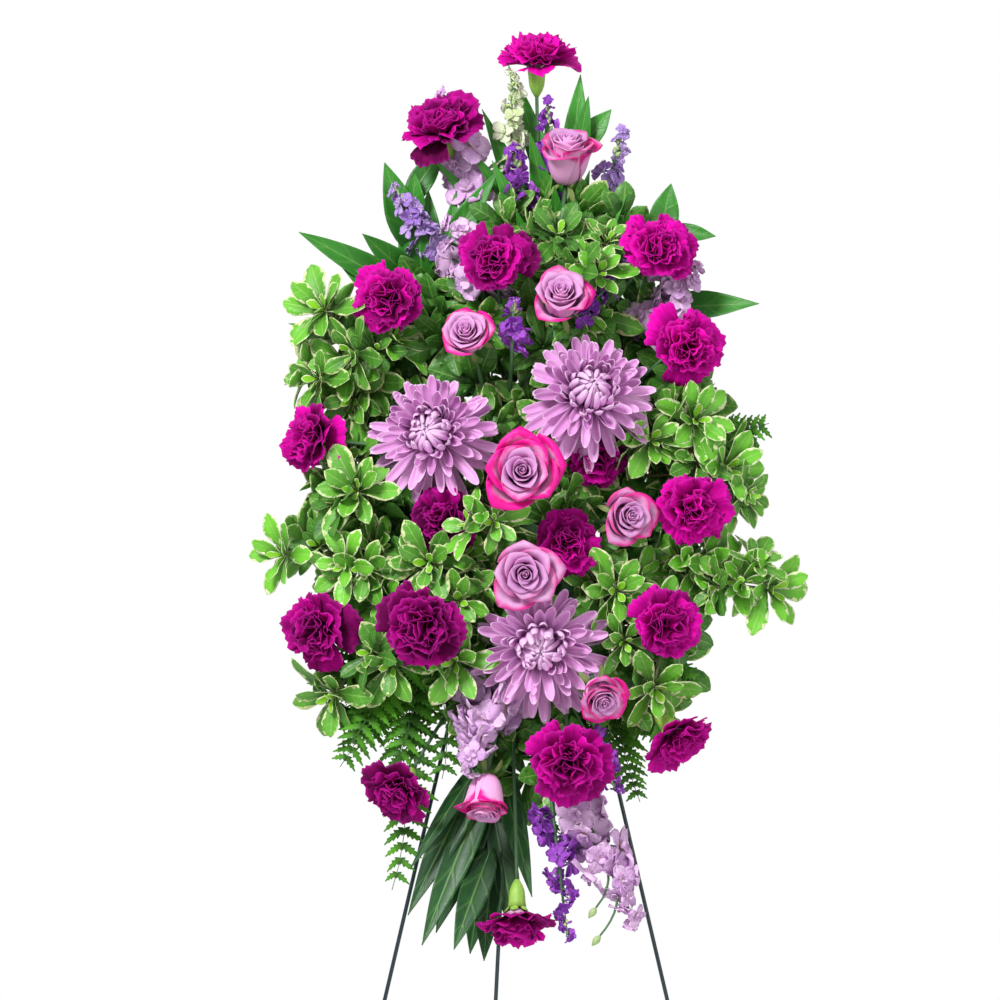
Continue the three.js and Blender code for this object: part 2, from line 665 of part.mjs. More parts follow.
// Leatherleaf fern: a stiff rachis with toothed leaflets on both sides, longest near its foot. A node holds
// the fronds that cross at their feet. A frond is [x, height, distance in front of its tip, turn and lift
// of its face, share of the rachis that is bare, longest leaflet].
const FERNS = [
  ["fern_01", [-196, 884, 64, -10, 10, 0.42, 48], [-134, 719, 54, -25, 20, 0.5, 44]],
  ["fern_02", [233, 1172, 50, 20, 10, 0.5, 44]],
  ["fern_03", [167, 920, 64, 20, 0, 0.5, 40], [114, 807, 64, 25, 10, 0.5, 38]],
];
const FROND_PAIRS = 6;
const FROND_THICK = 1.6;
const FROND_END = 0.96; // how far up the rachis its leaflets go
const LEAFLET_HALF = 0.2; // half of a leaflet's width, as a share of its length
// Half of a leaflet's toothed outline, as [share of its length, share of its half width].
const LEAFLET = [[0.26, 1], [0.48, 0.52], [0.62, 0.6]];
const LEAFLET_DROOP = 3;
const LEAFLET_SIZES = [1, 0.8, 0.6, 0.45, 0.3];

// A frond as one thin arched blade: both faces are cut to the same leaflets, and they are thickest at the
// rachis. A leaflet that would cross a neighbour is made shorter.
function frond(name, curve, [, , , turn, lift, bare, longest]) {
  const face = facing(turn, lift);
  const points = [];
  const faces = [];
  const add = (p) => points.push(p) - 1;
  const station = (t) => {
    const way = curve.getTangent(t);
    const side = new V3().crossVectors(way, face).normalize();
    return { at: curve.getPoint(t), way, side, up: new V3().crossVectors(side, way) };
  };
  const share = (k) => bare + ((FROND_END - bare) * (k + 0.5)) / FROND_PAIRS;
  const ribs = Array.from({ length: FROND_PAIRS }, (_, k) => {
    const { at, up } = station(share(k));
    return [1, -1].map((s) => add(at.clone().addScaledVector(up, (s * FROND_THICK) / 2)));
  });
  const widest = 0.38 * curve.getPoint(share(1)).distanceTo(curve.getPoint(share(0)));
  const foot = add(station(share(-0.5)).at);
  const end = add(curve.getPoint(1));
  for (const hand of [1, -1]) {
    let before = foot;
    for (let k = 0; k < FROND_PAIRS; k++) {
      const { at, way, side, up } = station(share(k));
      const out = side.clone().multiplyScalar(hand).addScaledVector(way, 0.6).normalize();
      const across = way.clone().addScaledVector(out, -way.dot(out)).normalize();
      const full = longest * (1 - (0.72 * k) / FROND_PAIRS);
      const fits = (size) => {
        const half = Math.min(full * size * LEAFLET_HALF, widest);
        const stations = [[0.1, 1, 1], [0.4, half, 1], [1, 0, -LEAFLET_DROOP]];
        return isClear(blade(at, out, up, full * size, stations, LEAF_THICK), name);
      };
      const length = full * (LEAFLET_SIZES.find(fits) ?? LEAFLET_SIZES.at(-1));
      const half = Math.min(length * LEAFLET_HALF, widest);
      const spot = (t, w) => {
        const p = at.clone().addScaledVector(out, t * length).addScaledVector(across, w * half);
        return add(p.addScaledVector(up, -LEAFLET_DROOP * t * t));
      };
      const low = LEAFLET.map(([t, w]) => spot(t, -w));
      const tip = spot(1, 0);
      const high = LEAFLET.map(([t, w]) => spot(t, w)).reverse();
      const notch = station(share(k + 0.5));
      const between = notch.at.clone().addScaledVector(notch.side, hand * 1.6);
      const after = k + 1 < FROND_PAIRS ? add(between) : end;
      const rim = [before, ...low, tip, ...high, after];
      for (const [s, rib] of ribs[k].entries()) {
        const fan = rim.slice(1).map((p, i) => [rib, rim[i], p]);
        if (k + 1 < FROND_PAIRS) fan.push([rib, after, ribs[k + 1][s]]);
        faces.push(...(hand * (s ? -1 : 1) > 0 ? fan : fan.map(([a, b, c]) => [a, c, b])));
      }
      before = after;
    }
  }
  return solidFrom(points, faces);
}

// The easel: two front legs of bent wire that meet at a short hinge bar, and a rear leg whose eye turns on
// the bar. Every leg is cut off level with the floor.
const FLOOR_CUT = solidOf(
  new THREE.BoxGeometry(2000, 2000, 500),
  new THREE.Matrix4().makeTranslation(0, 0, -250),
);

const wire = (points) => tube(points, points.map(() => WIRE_RADIUS), WIRE_SIDES);

function buildLegs() {
  const legLength = EASEL_HEIGHT / Math.cos(FRONT_LEAN) + 10; // past the floor, to be cut off there
  const bend = -HINGE_HALF / LEG_SPREAD - 4; // where a leg turns up to the hinge bar
  const foot = (side) => onSlope(side * LEG_SPREAD * legLength, -legLength, 0);
  const shoulder = (side) => onSlope(side * HINGE_HALF, bend, 0);
  const barEnd = HINGE_HALF - WIRE_RADIUS - CLEAR;
  const bar = [onSlope(-HINGE_HALF, -5, 0), onSlope(-HINGE_HALF + 4, 0, 0), onSlope(barEnd, 0, 0)];
  const left = wire([foot(-1), shoulder(-1), ...bar]);
  const right = wire([foot(1), shoulder(1), onSlope(HINGE_HALF, 4, 0)]);
  const rearWay = new V3(REAR_DRIFT, REAR_REACH, -EASEL_HEIGHT).normalize();
  const onRear = (distance) => HINGE.clone().addScaledVector(rearWay, distance);
  const eye = solidOf(
    new THREE.TorusGeometry(EYE_RADIUS, WIRE_RADIUS, 5, 8),
    new THREE.Matrix4().makeRotationY(Math.PI / 2).setPosition(HINGE),
  );
  const shank = wire([onRear(EYE_RADIUS), onRear(EASEL_HEIGHT * 1.2)]);
  addNode("easel_leg_left", left.subtract(FLOOR_CUT), "wire");
  addNode("easel_leg_right", right.subtract(FLOOR_CUT), "wire");
  keepClearOf("easel_leg_left", left);
  keepClearOf("easel_leg_right", right);
  addNode("easel_leg_rear", unite([eye, shank]).subtract(FLOOR_CUT), "wire");
}

// The shelf: a cross wire on the front legs, and two arms that run out under the cage and turn up at their
// ends.
function buildShelf() {
  const level = FOAM.bottom - FOAM_GAP - CAGE_WALL - FOAM_GAP - WIRE_RADIUS;
  const crossOut = 2 * WIRE_RADIUS + CLEAR;
  const span = LEG_SPREAD * -level + 8;
  const armEnd = FOAM.front + 10;
  const cross = wire([onSlope(-span, level, crossOut), onSlope(span, level, crossOut)]);
  const arms = [-ARM_OFFSET, ARM_OFFSET].map((u) => {
    const turnedUp = [onSlope(u, level + 4, armEnd), onSlope(u, level + 20, armEnd)];
    return wire([onSlope(u, level, crossOut), onSlope(u, level, armEnd - 4), ...turnedUp]);
  });
  const shelf = unite([cross, ...arms]);
  addNode("easel_shelf", shelf, "wire");
  keepClearOf("easel_shelf", shelf);
}

// A box in the easel's sloping plane.
const SLOPE = new THREE.Matrix4().makeBasis(ACROSS, UP_SLOPE, OUTWARD).setPosition(HINGE);

function slopeBox(u0, u1, v0, v1, w0, w1) {
  const place = new THREE.Matrix4().makeTranslation((u0 + u1) / 2, (v0 + v1) / 2, (w0 + w1) / 2);
  return solidOf(new THREE.BoxGeometry(u1 - u0, v1 - v0, w1 - w0), SLOPE.clone().multiply(place));
}

// The cage: a shallow tray behind the foam, and a lattice of flat ribs that holds the foam in it.
function cageSolid() {
  const inner = FOAM.halfWidth + FOAM_GAP;
  const outer = inner + CAGE_WALL;
  const [top, bottom] = [FOAM.top + FOAM_GAP, FOAM.bottom - FOAM_GAP];
  const back = FOAM.back - FOAM_GAP;
  const front = FOAM.front + FOAM_GAP;
  const [ceiling, floor] = [top + CAGE_WALL, bottom - CAGE_WALL];
  const tray = slopeBox(-outer, outer, floor, ceiling, back - CAGE_WALL, back + TRAY_RIM).subtract(
    slopeBox(-inner, inner, bottom, top, back, back + TRAY_RIM + 1),
  );
  const face = front + RIB / 2;
  const half = RIB / 2;
  const uprights = [-27, 27].map((u) =>
    slopeBox(u - half, u + half, floor, ceiling, back, face).subtract(
      slopeBox(u - RIB, u + RIB, bottom, top, back - 1, front),
    ),
  );
  const hoops = [1.5, 8.5].map((row) => {
    const v = ROW_TOP - row * ROW_PITCH;
    return slopeBox(-outer, outer, v - half, v + half, back, face).subtract(
      slopeBox(-inner, inner, v - RIB, v + RIB, back - 1, front),
    );
  });
  const lug = slopeBox(TIE_U - 4, TIE_U + 4, ceiling - 1, -1, back - CAGE_WALL, back).subtract(
    slopeBox(TIE_U - 1.8, TIE_U + 1.8, -7, -3.4, back - CAGE_WALL - 1, back + 1),
  );
  return unite([tray, ...uprights, ...hoops, lug]);
}

// The tie: a ring of thin wire through the cage's lug and round the hinge bar. Its route is in the easel's
// (v, w).
const TIE_ROUTE = [
  [-5.2, 0.5], [-5.2, 6.2], [-4, 7.3], [-0.5, 7.3],
  [3.2, 3], [3.6, -1], [1.5, -3.6], [-2.5, -3.6],
];
const TIE_SIDES = 5;

function tieSolid() {
  const count = TIE_ROUTE.length;
  const points = [];
  const faces = [];
  TIE_ROUTE.forEach(([v, w], i) => {
    const [v0, w0] = TIE_ROUTE[(i + count - 1) % count];
    const [v1, w1] = TIE_ROUTE[(i + 1) % count];
    const length = Math.hypot(v1 - v0, w1 - w0);
    const [nv, nw] = [(w1 - w0) / length, (v0 - v1) / length];
    for (let k = 0; k < TIE_SIDES; k++) {
      const a = (2 * Math.PI * k) / TIE_SIDES;
      const out = TIE_RADIUS * Math.cos(a);
      points.push(onSlope(TIE_U + TIE_RADIUS * Math.sin(a), v + nv * out, w + nw * out));
      const at = (ring, spoke) => (ring % count) * TIE_SIDES + (spoke % TIE_SIDES);
      faces.push([at(i, k), at(i + 1, k), at(i + 1, k + 1)], [at(i, k), at(i + 1, k + 1), at(i, k + 1)]);
    }
  });
  return solidFrom(points, faces);
}

buildLegs();
buildShelf();
addNode("cage_tie", tieSolid(), "tie");
const foam = slopeBox(-FOAM.halfWidth, FOAM.halfWidth, FOAM.bottom, FOAM.top, FOAM.back, FOAM.front);
const cage = cageSolid();
keepClearOf("foam_block", foam);
keepClearOf("foam_cage", cage);

// Blooms: every head is placed first, so that each stem can then be led past all of them.
const blooms = [];

function addBloom([name, x, z, out, diameter, turn, lift], make, thick, material) {
  const centre = inFront(x, z, out);
  const axis = facing(turn, lift);
  const { calyx, rings, petals = [] } = make(centre, axis, diameter);
  const neck = centre.clone().addScaledVector(axis, calyx[0][0]);
  const collar = calyx.map(([along]) => centre.clone().addScaledVector(axis, along));
  const radii = calyx.map(([, radius]) => radius);
  const middle = loft([...tubeRings(collar, radii, STEM_SIDES, squareTo(axis)), ...rings]);
  keepClearOf(name, unite([middle, ...petals]));
  blooms.push({ name, axis, neck, collar, radii, rings, petals, thick, material });
}

CARNATIONS.forEach((row) => addBloom(row, carnation, 1.8, "carnation"));
ROSES.forEach((row) => addBloom(row, rose, 2.4, "rose"));
MUMS.forEach((row) => addBloom(row, chrysanthemum, 2.6, "mum"));

for (const { name, axis, neck, collar, radii, rings, petals, thick, material } of blooms) {
  const stem = leadStem(name, neck, axis, thick, thick);
  const points = [...stem.points.slice(0, -1), ...collar];
  const widths = [...stem.radii.slice(0, -1), ...radii];
  const body = loft([...tubeRings(points, widths, STEM_SIDES, squareTo(axis)), ...rings]);
  const whole = fuse([body, ...petals]);
  placed.find((p) => p.name === name).solid = whole;
  placed.find((p) => p.name === name).box = boxOf(whole);
  addNode(name, whole, material);
}

// The small-flowered spikes and the greens. A floret or leaf that would cross a neighbour is turned or made
// smaller, and it is left off if that doesn't clear it.
function finish(name, solids, material) {
  const whole = fuse(solids);
  keepClearOf(name, whole);
  addNode(name, whole, material);
}

function addSpikes(rows, material, lobes, notch, thick) {
  for (const [name, ...spikes] of rows) {
    const [x, z, out, turn, lift] = spikes[0];
    const stem = leadStem(name, inFront(x, z, out), facing(turn, lift), thick, 1.1);
    const solids = [stem.solid, ...floretsOn(name, stem.line, spikes[0], lobes, notch)];
    for (const spike of spikes.slice(1)) {
      const neck = inFront(spike[0], spike[1], spike[2]);
      const branch = leadBranch(name, stem, 0.15, neck, facing(spike[3], spike[4]), thick * 0.8, 1);
      if (!branch) continue;
      solids.push(branch.solid, ...floretsOn(name, branch.line, spike, lobes, notch));
    }
    finish(name, solids, material);
  }
}

// What a ruscus leaf tries: its width, how much nearer its tip comes, and how far its face is turned up.
const RUSCUS_TRIES = [];
for (const width of [1, 0.75, 0.6])
  for (const [nearer, upward] of [[0, 0], [12, 0], [-12, 0], [24, 0.5], [-24, 0.5], [0, 1]])
    RUSCUS_TRIES.push([width, nearer, upward]);

function addRuscus([name, [x, z, out, turn, lift], leaves]) {
  const stem = leadStem(name, inFront(x, z, out), facing(turn, lift), 1.8, 1);
  const solids = [stem.solid];
  for (const [share, leafX, leafZ, leafOut, half] of leaves)
    for (const [width, nearer, upward] of RUSCUS_TRIES) {
      const tip = inFront(leafX, leafZ, leafOut + nearer);
      const leaf = ruscusLeaf(stem.line.getPoint(share), tip, half * width, upward);
      if (!isClear(leaf, name)) continue;
      solids.push(leaf);
      break;
    }
  finish(name, solids, "ruscus");
}

// What a whorl tries: its size, and how far it is turned about its twig.
const WHORL_TRIES = [];
for (const size of [1, 0.85, 0.7, 0.55])
  for (const turn of [0, 0.35, 0.7]) WHORL_TRIES.push([size, turn]);

// Puts a whorl on a twig, clear of its neighbours, of its own plant's other whorls and of its own twig.
function addWhorl(name, solids, twig, length) {
  const end = twig.points.at(-1);
  const axis = twig.curve.getTangent(1);
  const stalk = [...twig.points.slice(0, -1), end.clone().addScaledVector(axis, -WHORL_FOOT)];
  const rings = tubeRings(stalk, twig.radii, STEM_SIDES, squareTo(axis));
  const behind = tube(stalk.slice(0, -1), twig.radii.slice(0, -1), STEM_SIDES);
  for (const [size, turn] of WHORL_TRIES) {
    const crown = whorl(rings.slice(-1), end, axis, length * size, turn);
    const crowded = [behind, ...solids].some((own) => own.minGap(crown, 1) < CLEAR);
    if (crowded || !isClear(crown, name)) continue;
    solids.push(whorl(rings, end, axis, length * size, turn));
    return true;
  }
  return false;
}

function addPittosporum([name, main, sides]) {
  const stem = leadStem(name, inFront(main[0], main[1], main[2]), facing(main[3], main[4]), 2.2, 1.4);
  const solids = [];
  if (!addWhorl(name, solids, stem, main[5])) solids.push(stem.solid);
  for (const [x, z, out, turn, lift, length, share] of sides) {
    const twig = leadBranch(name, stem, share, inFront(x, z, out), facing(turn, lift), 1.5, 1.2);
    if (twig) addWhorl(name, solids, twig, length);
  }
  finish(name, solids, "pittosporum");
}

function addFern([name, ...fronds]) {
  const solids = [];
  let first = null;
  for (const row of fronds) {
    const tip = inFront(row[0], row[1], row[2]);
    const axis = tip.clone().sub(onSlope(0, FOAM_MIDDLE, 0)).normalize();
    const stem = first
      ? leadBranch(name, first, 0.1, tip, axis, 1.3, 0.7)
      : leadStem(name, tip, axis, 1.5, 0.7);
    if (!stem) continue;
    const upTo = row[5] + (0.5 * (FROND_END - row[5])) / FROND_PAIRS;
    const stalk = [0, 0.5, 1].map((t) => stem.curve.getPoint(t * upTo));
    const points = first ? stalk : [stem.points[0], ...stalk];
    first ??= { line: lineThrough(stalk) };
    const radii = points.map((_, i) => 1.5 - (0.8 * i) / (points.length - 1));
    solids.push(tube(points, radii, STEM_SIDES), frond(name, stem.curve, row));
  }
  finish(name, solids, "fern");
}

addSpikes(LARKSPUR, "larkspur", 4, 0.5, 2);
addSpikes(STOCK, "stock", 4, 0.72, 2.4);
RUSCUS.forEach(addRuscus);
PITTOSPORUM.forEach(addPittosporum);
FERNS.forEach(addFern);

const drilled = unite(holes);
addNode("foam_block", foam.subtract(drilled), "foam");
addNode("foam_cage", cage.subtract(drilled), "cage");

export default group;
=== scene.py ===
import functools
import math

import bpy
import numpy as np
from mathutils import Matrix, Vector
from mathutils.bvhtree import BVHTree
from mathutils.kdtree import KDTree


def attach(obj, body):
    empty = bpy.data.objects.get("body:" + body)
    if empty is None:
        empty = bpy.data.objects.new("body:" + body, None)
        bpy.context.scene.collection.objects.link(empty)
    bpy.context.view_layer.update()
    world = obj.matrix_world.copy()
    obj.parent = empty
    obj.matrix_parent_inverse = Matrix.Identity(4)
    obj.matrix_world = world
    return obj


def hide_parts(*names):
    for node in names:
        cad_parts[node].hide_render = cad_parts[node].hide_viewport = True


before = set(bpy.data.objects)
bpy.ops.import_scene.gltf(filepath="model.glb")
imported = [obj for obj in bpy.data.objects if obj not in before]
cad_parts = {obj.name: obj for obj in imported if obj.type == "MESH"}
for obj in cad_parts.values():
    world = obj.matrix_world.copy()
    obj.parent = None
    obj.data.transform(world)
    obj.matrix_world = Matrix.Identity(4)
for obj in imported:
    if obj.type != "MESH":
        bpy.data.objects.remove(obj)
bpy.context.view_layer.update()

# The studio. The spray stands on a pale floor in soft, even light, with white all round it. The camera
# looks straight at the flowers from far off through a long lens. The easel's feet are below its view.
VIEW_WIDTH = 1.0  # how much the camera sees across, at the depth of the flowers
VIEW_MIDDLE = (-0.026, -0.23, 1.109)
VIEW_DISTANCE = 30.0
SENSOR = 36.0
FLOOR_HALF = 1.5
FLOOR_LEVEL = -0.0005  # just under the feet
WORLD_LIGHT = 0.5
WORLD_WHITE = 1.0  # what the camera sees of it
# Each light is [name, place, size, watts]. All of them point at the middle of the flowers.
LIGHTS = [
    ["key", (-1.4, -2.4, 2.9), 0.9, 100],
    ["fill", (2.2, -2.6, 1.2), 2.2, 24],
    ["rim", (0.8, 2.2, 2.8), 1.5, 30],
]
LIGHTS_AIM = (0, -0.2, 1.1)

camera_data = bpy.data.cameras.new("camera")
camera_data.sensor_width = SENSOR
camera_data.lens = SENSOR * VIEW_DISTANCE / VIEW_WIDTH
camera = bpy.data.objects.new("camera", camera_data)
camera.location = (VIEW_MIDDLE[0], VIEW_MIDDLE[1] - VIEW_DISTANCE, VIEW_MIDDLE[2])
camera.rotation_euler = (math.radians(90), 0, 0)
bpy.context.collection.objects.link(camera)
bpy.context.scene.camera = camera
bpy.context.scene.view_settings.view_transform = "Standard"


def srgb(red, green, blue):
    """A colour given as it is seen on a screen, 0 to 255, as the linear colour that shaders take."""
    parts = [c / 255 for c in (red, green, blue)]
    return (*[c / 12.92 if c <= 0.04045 else ((c + 0.055) / 1.055) ** 2.4 for c in parts], 1.0)


def new_material(name, roughness, **sockets):
    """A material with its shader. The sockets hold values that are the same all over the surface."""
    made = bpy.data.materials.new(name)
    made.use_nodes = True
    shader = made.node_tree.nodes["Principled BSDF"]
    shader.inputs["Roughness"].default_value = roughness
    for socket, value in sockets.items():
        shader.inputs[socket.replace("_", " ")].default_value = value
    return made, made.node_tree, shader


def add_node(tree, kind, inputs, **settings):
    """Adds a shader node. An input takes a value or the socket that feeds it."""
    made = tree.nodes.new("ShaderNode" + kind)
    for setting, value in settings.items():
        setattr(made, setting, value)
    for key, value in inputs.items():
        if isinstance(value, bpy.types.NodeSocket):
            tree.links.new(value, made.inputs[key])
        else:
            made.inputs[key].default_value = value
    return made


def sum_of(tree, operation, *values):
    """The outcome of one sum on the values, such as ADD or MULTIPLY."""
    return add_node(tree, "Math", dict(enumerate(values)), operation=operation).outputs[0]


def mixed(tree, share, first, second):
    """A colour between two. A Mix node takes its colours at its sockets 6 and 7."""
    return add_node(tree, "Mix", {0: share, 6: first, 7: second}, data_type="RGBA").outputs[2]


def stepped(tree, value, low, high):
    """0 below low and 1 above high, with a smooth way between."""
    inputs = {0: value, 1: low, 2: high}
    return add_node(tree, "MapRange", inputs, interpolation_type="SMOOTHSTEP").outputs[0]


def roughened(tree, shader, height, strength, distance):
    """Feeds a height to the shader as bump. distance is in metres."""
    inputs = {"Height": height, "Strength": strength, "Distance": distance}
    tree.links.new(add_node(tree, "Bump", inputs).outputs[0], shader.inputs["Normal"])


def new_group(name, inputs, outputs):
    """An empty group of shader nodes, the values that it is given, and the sockets for what it puts out."""
    tree = bpy.data.node_groups.new(name, "ShaderNodeTree")
    for way, sockets in (("INPUT", inputs), ("OUTPUT", outputs)):
        for socket in sockets:
            tree.interface.new_socket(socket, in_out=way, socket_type="NodeSocketFloat")
    return tree, tree.nodes.new("NodeGroupInput").outputs, tree.nodes.new("NodeGroupOutput").inputs


def grouped(tree, group, *values):
    """Places a group and feeds its inputs in order. Returns its outputs."""
    return list(add_node(tree, "Group", dict(enumerate(values)), node_tree=group).outputs)


def speckle_group():
    """Patches and fine specks over any surface, at a scale given in patches for each metre."""
    tree, given, out = new_group("Patches and specks", ["Scale"], ["Patches", "Specks"])
    place = add_node(tree, "TexCoord", {}).outputs["Object"]
    broad = add_node(tree, "TexNoise", {"Vector": place, "Scale": given["Scale"], "Detail": 2.0})
    close = sum_of(tree, "MULTIPLY", given["Scale"], 9.0)
    fine = add_node(tree, "TexNoise", {"Vector": place, "Scale": close, "Detail": 3.0})
    tree.links.new(broad.outputs[0], out["Patches"])
    tree.links.new(fine.outputs[0], out["Specks"])
    return tree


SPECKLE = speckle_group()

floor_paint, tree, shader = new_material("floor paint", 0.6)
patches, specks = grouped(tree, SPECKLE, 3.0)
tree.links.new(mixed(tree, patches, srgb(238, 238, 238), srgb(246, 246, 246)), shader.inputs["Base Color"])
roughened(tree, shader, specks, 0.1, 0.0005)

floor_mesh = bpy.data.meshes.new("floor")
corner_signs = [(-1, -1), (1, -1), (1, 1), (-1, 1)]
floor_mesh.from_pydata([(x * FLOOR_HALF, y * FLOOR_HALF, 0) for x, y in corner_signs], [], [(0, 1, 2, 3)])
floor_mesh.materials.append(floor_paint)
floor = bpy.data.objects.new("floor", floor_mesh)
floor.location.z = FLOOR_LEVEL
bpy.context.collection.objects.link(floor)

world = bpy.data.worlds.new("white room")
world.use_nodes = True
bpy.context.scene.world = world
sky = world.node_tree.nodes["Background"]
seen = add_node(world.node_tree, "LightPath", {}).outputs["Is Camera Ray"]
strength = add_node(world.node_tree, "MapRange", {0: seen, 3: WORLD_LIGHT, 4: WORLD_WHITE})
world.node_tree.links.new(strength.outputs[0], sky.inputs["Strength"])
sky.inputs["Color"].default_value = (1, 1, 1, 1)

for name, place, size, watts in LIGHTS:
    lamp = bpy.data.lights.new(name, "AREA")
    lamp.shape = "DISK"
    lamp.size = size
    lamp.energy = watts
    light = bpy.data.objects.new(name, lamp)
    light.location = place
    aim = Vector(LIGHTS_AIM) - light.location
    light.rotation_euler = aim.to_track_quat("-Z", "Y").to_euler()
    bpy.context.collection.objects.link(light)


# The easel's two front legs and its rear leg. They are 4 mm steel wire, bent to shape and dipped in dark
# green enamel. The rear leg ends in an eye that turns on the left leg's hinge bar.
MM = 0.001  # the pieces' lengths are worked out in millimetres
EASEL_HEIGHT = 1219  # to the hinge
LEAN = math.radians(12)  # how far the front legs lean back
REAR_REACH = 400  # from the hinge back to the rear foot
REAR_DRIFT = -60  # from the hinge sideways to the rear foot
WIRE_RADIUS = 2
WIRE_SIDES = 14
WIRE_BEND = 4  # the length of wire that a sharp bend takes up
LEG_SPREAD = 0.2274  # how much the front legs part on their way down
HINGE_HALF = 11
BAR_FOOT = -5  # where the left leg starts to turn into the hinge bar
RIGHT_TOP = 4  # how far the right leg stands above the hinge bar
EYE_RADIUS = 5
GAP = 0.35  # between separate pieces

HINGE = np.array([0, (EASEL_HEIGHT * math.tan(LEAN) - REAR_REACH) / 2, EASEL_HEIGHT])
ACROSS = np.array([1.0, 0.0, 0.0])
UP_SLOPE = np.array([0.0, math.sin(LEAN), math.cos(LEAN)])
OUTWARD = np.array([0.0, -math.cos(LEAN), math.sin(LEAN)])


def unit(v):
    """The direction of a vector, one unit long."""
    return v / np.linalg.norm(v)


def on_slope(u, v, w):
    """A point of the easel's sloping plane: across, up from the hinge and out."""
    return HINGE + u * ACROSS + v * UP_SLOPE + w * OUTWARD


def square_to(axis):
    """Two directions square to an axis and to each other."""
    helper = (0, 1, 0) if abs(axis[2]) > 0.9 else (0, 0, 1)
    x = unit(np.cross(helper, axis))
    return x, np.cross(axis, x)


def softened(line, share=0.2, steps=5):
    """The line with a smooth bend at each corner, which takes up a share of the run on either side."""
    line = np.asarray(line, float)
    made = [line[0]]
    t = np.linspace(0, 1, steps)[:, None]
    for before, corner, after in zip(line, line[1:], line[2:]):
        start, end = corner + (before - corner) * share, corner + (after - corner) * share
        made.extend((1 - t) ** 2 * start + 2 * t * (1 - t) * corner + t**2 * end)
    return np.array([*made, line[-1]])


@functools.cache
def sheet_quads(rows, columns):
    """The faces of a thin closed sheet: its top, its underside and its rim."""
    at = np.arange(rows * columns).reshape(rows, columns)
    top = np.stack([at[:-1, :-1], at[1:, :-1], at[1:, 1:], at[:-1, 1:]], -1).reshape(-1, 4)
    edge = np.concatenate([at[:-1, 0], at[-1, :-1], at[:0:-1, -1], at[0, :0:-1]])
    ahead = np.roll(edge, -1)
    under = rows * columns
    rim = np.stack([ahead, edge, edge + under, ahead + under], -1)
    return np.concatenate([top, top[:, ::-1] + under]), rim


@functools.cache
def tube_quads(rings, sides):
    """The faces of a tube: its wall, and its two closed ends."""
    at = np.arange(rings * sides).reshape(rings, sides)
    ahead = np.roll(at, -1, axis=1)
    wall = np.stack([at[:-1], ahead[:-1], ahead[1:], at[1:]], -1).reshape(-1, 4)
    fan = np.array([(0, i + 3, i + 2, i + 1) for i in range(0, sides - 2, 2)])
    return wall, np.concatenate([fan, fan[:, ::-1] + (rings - 1) * sides])


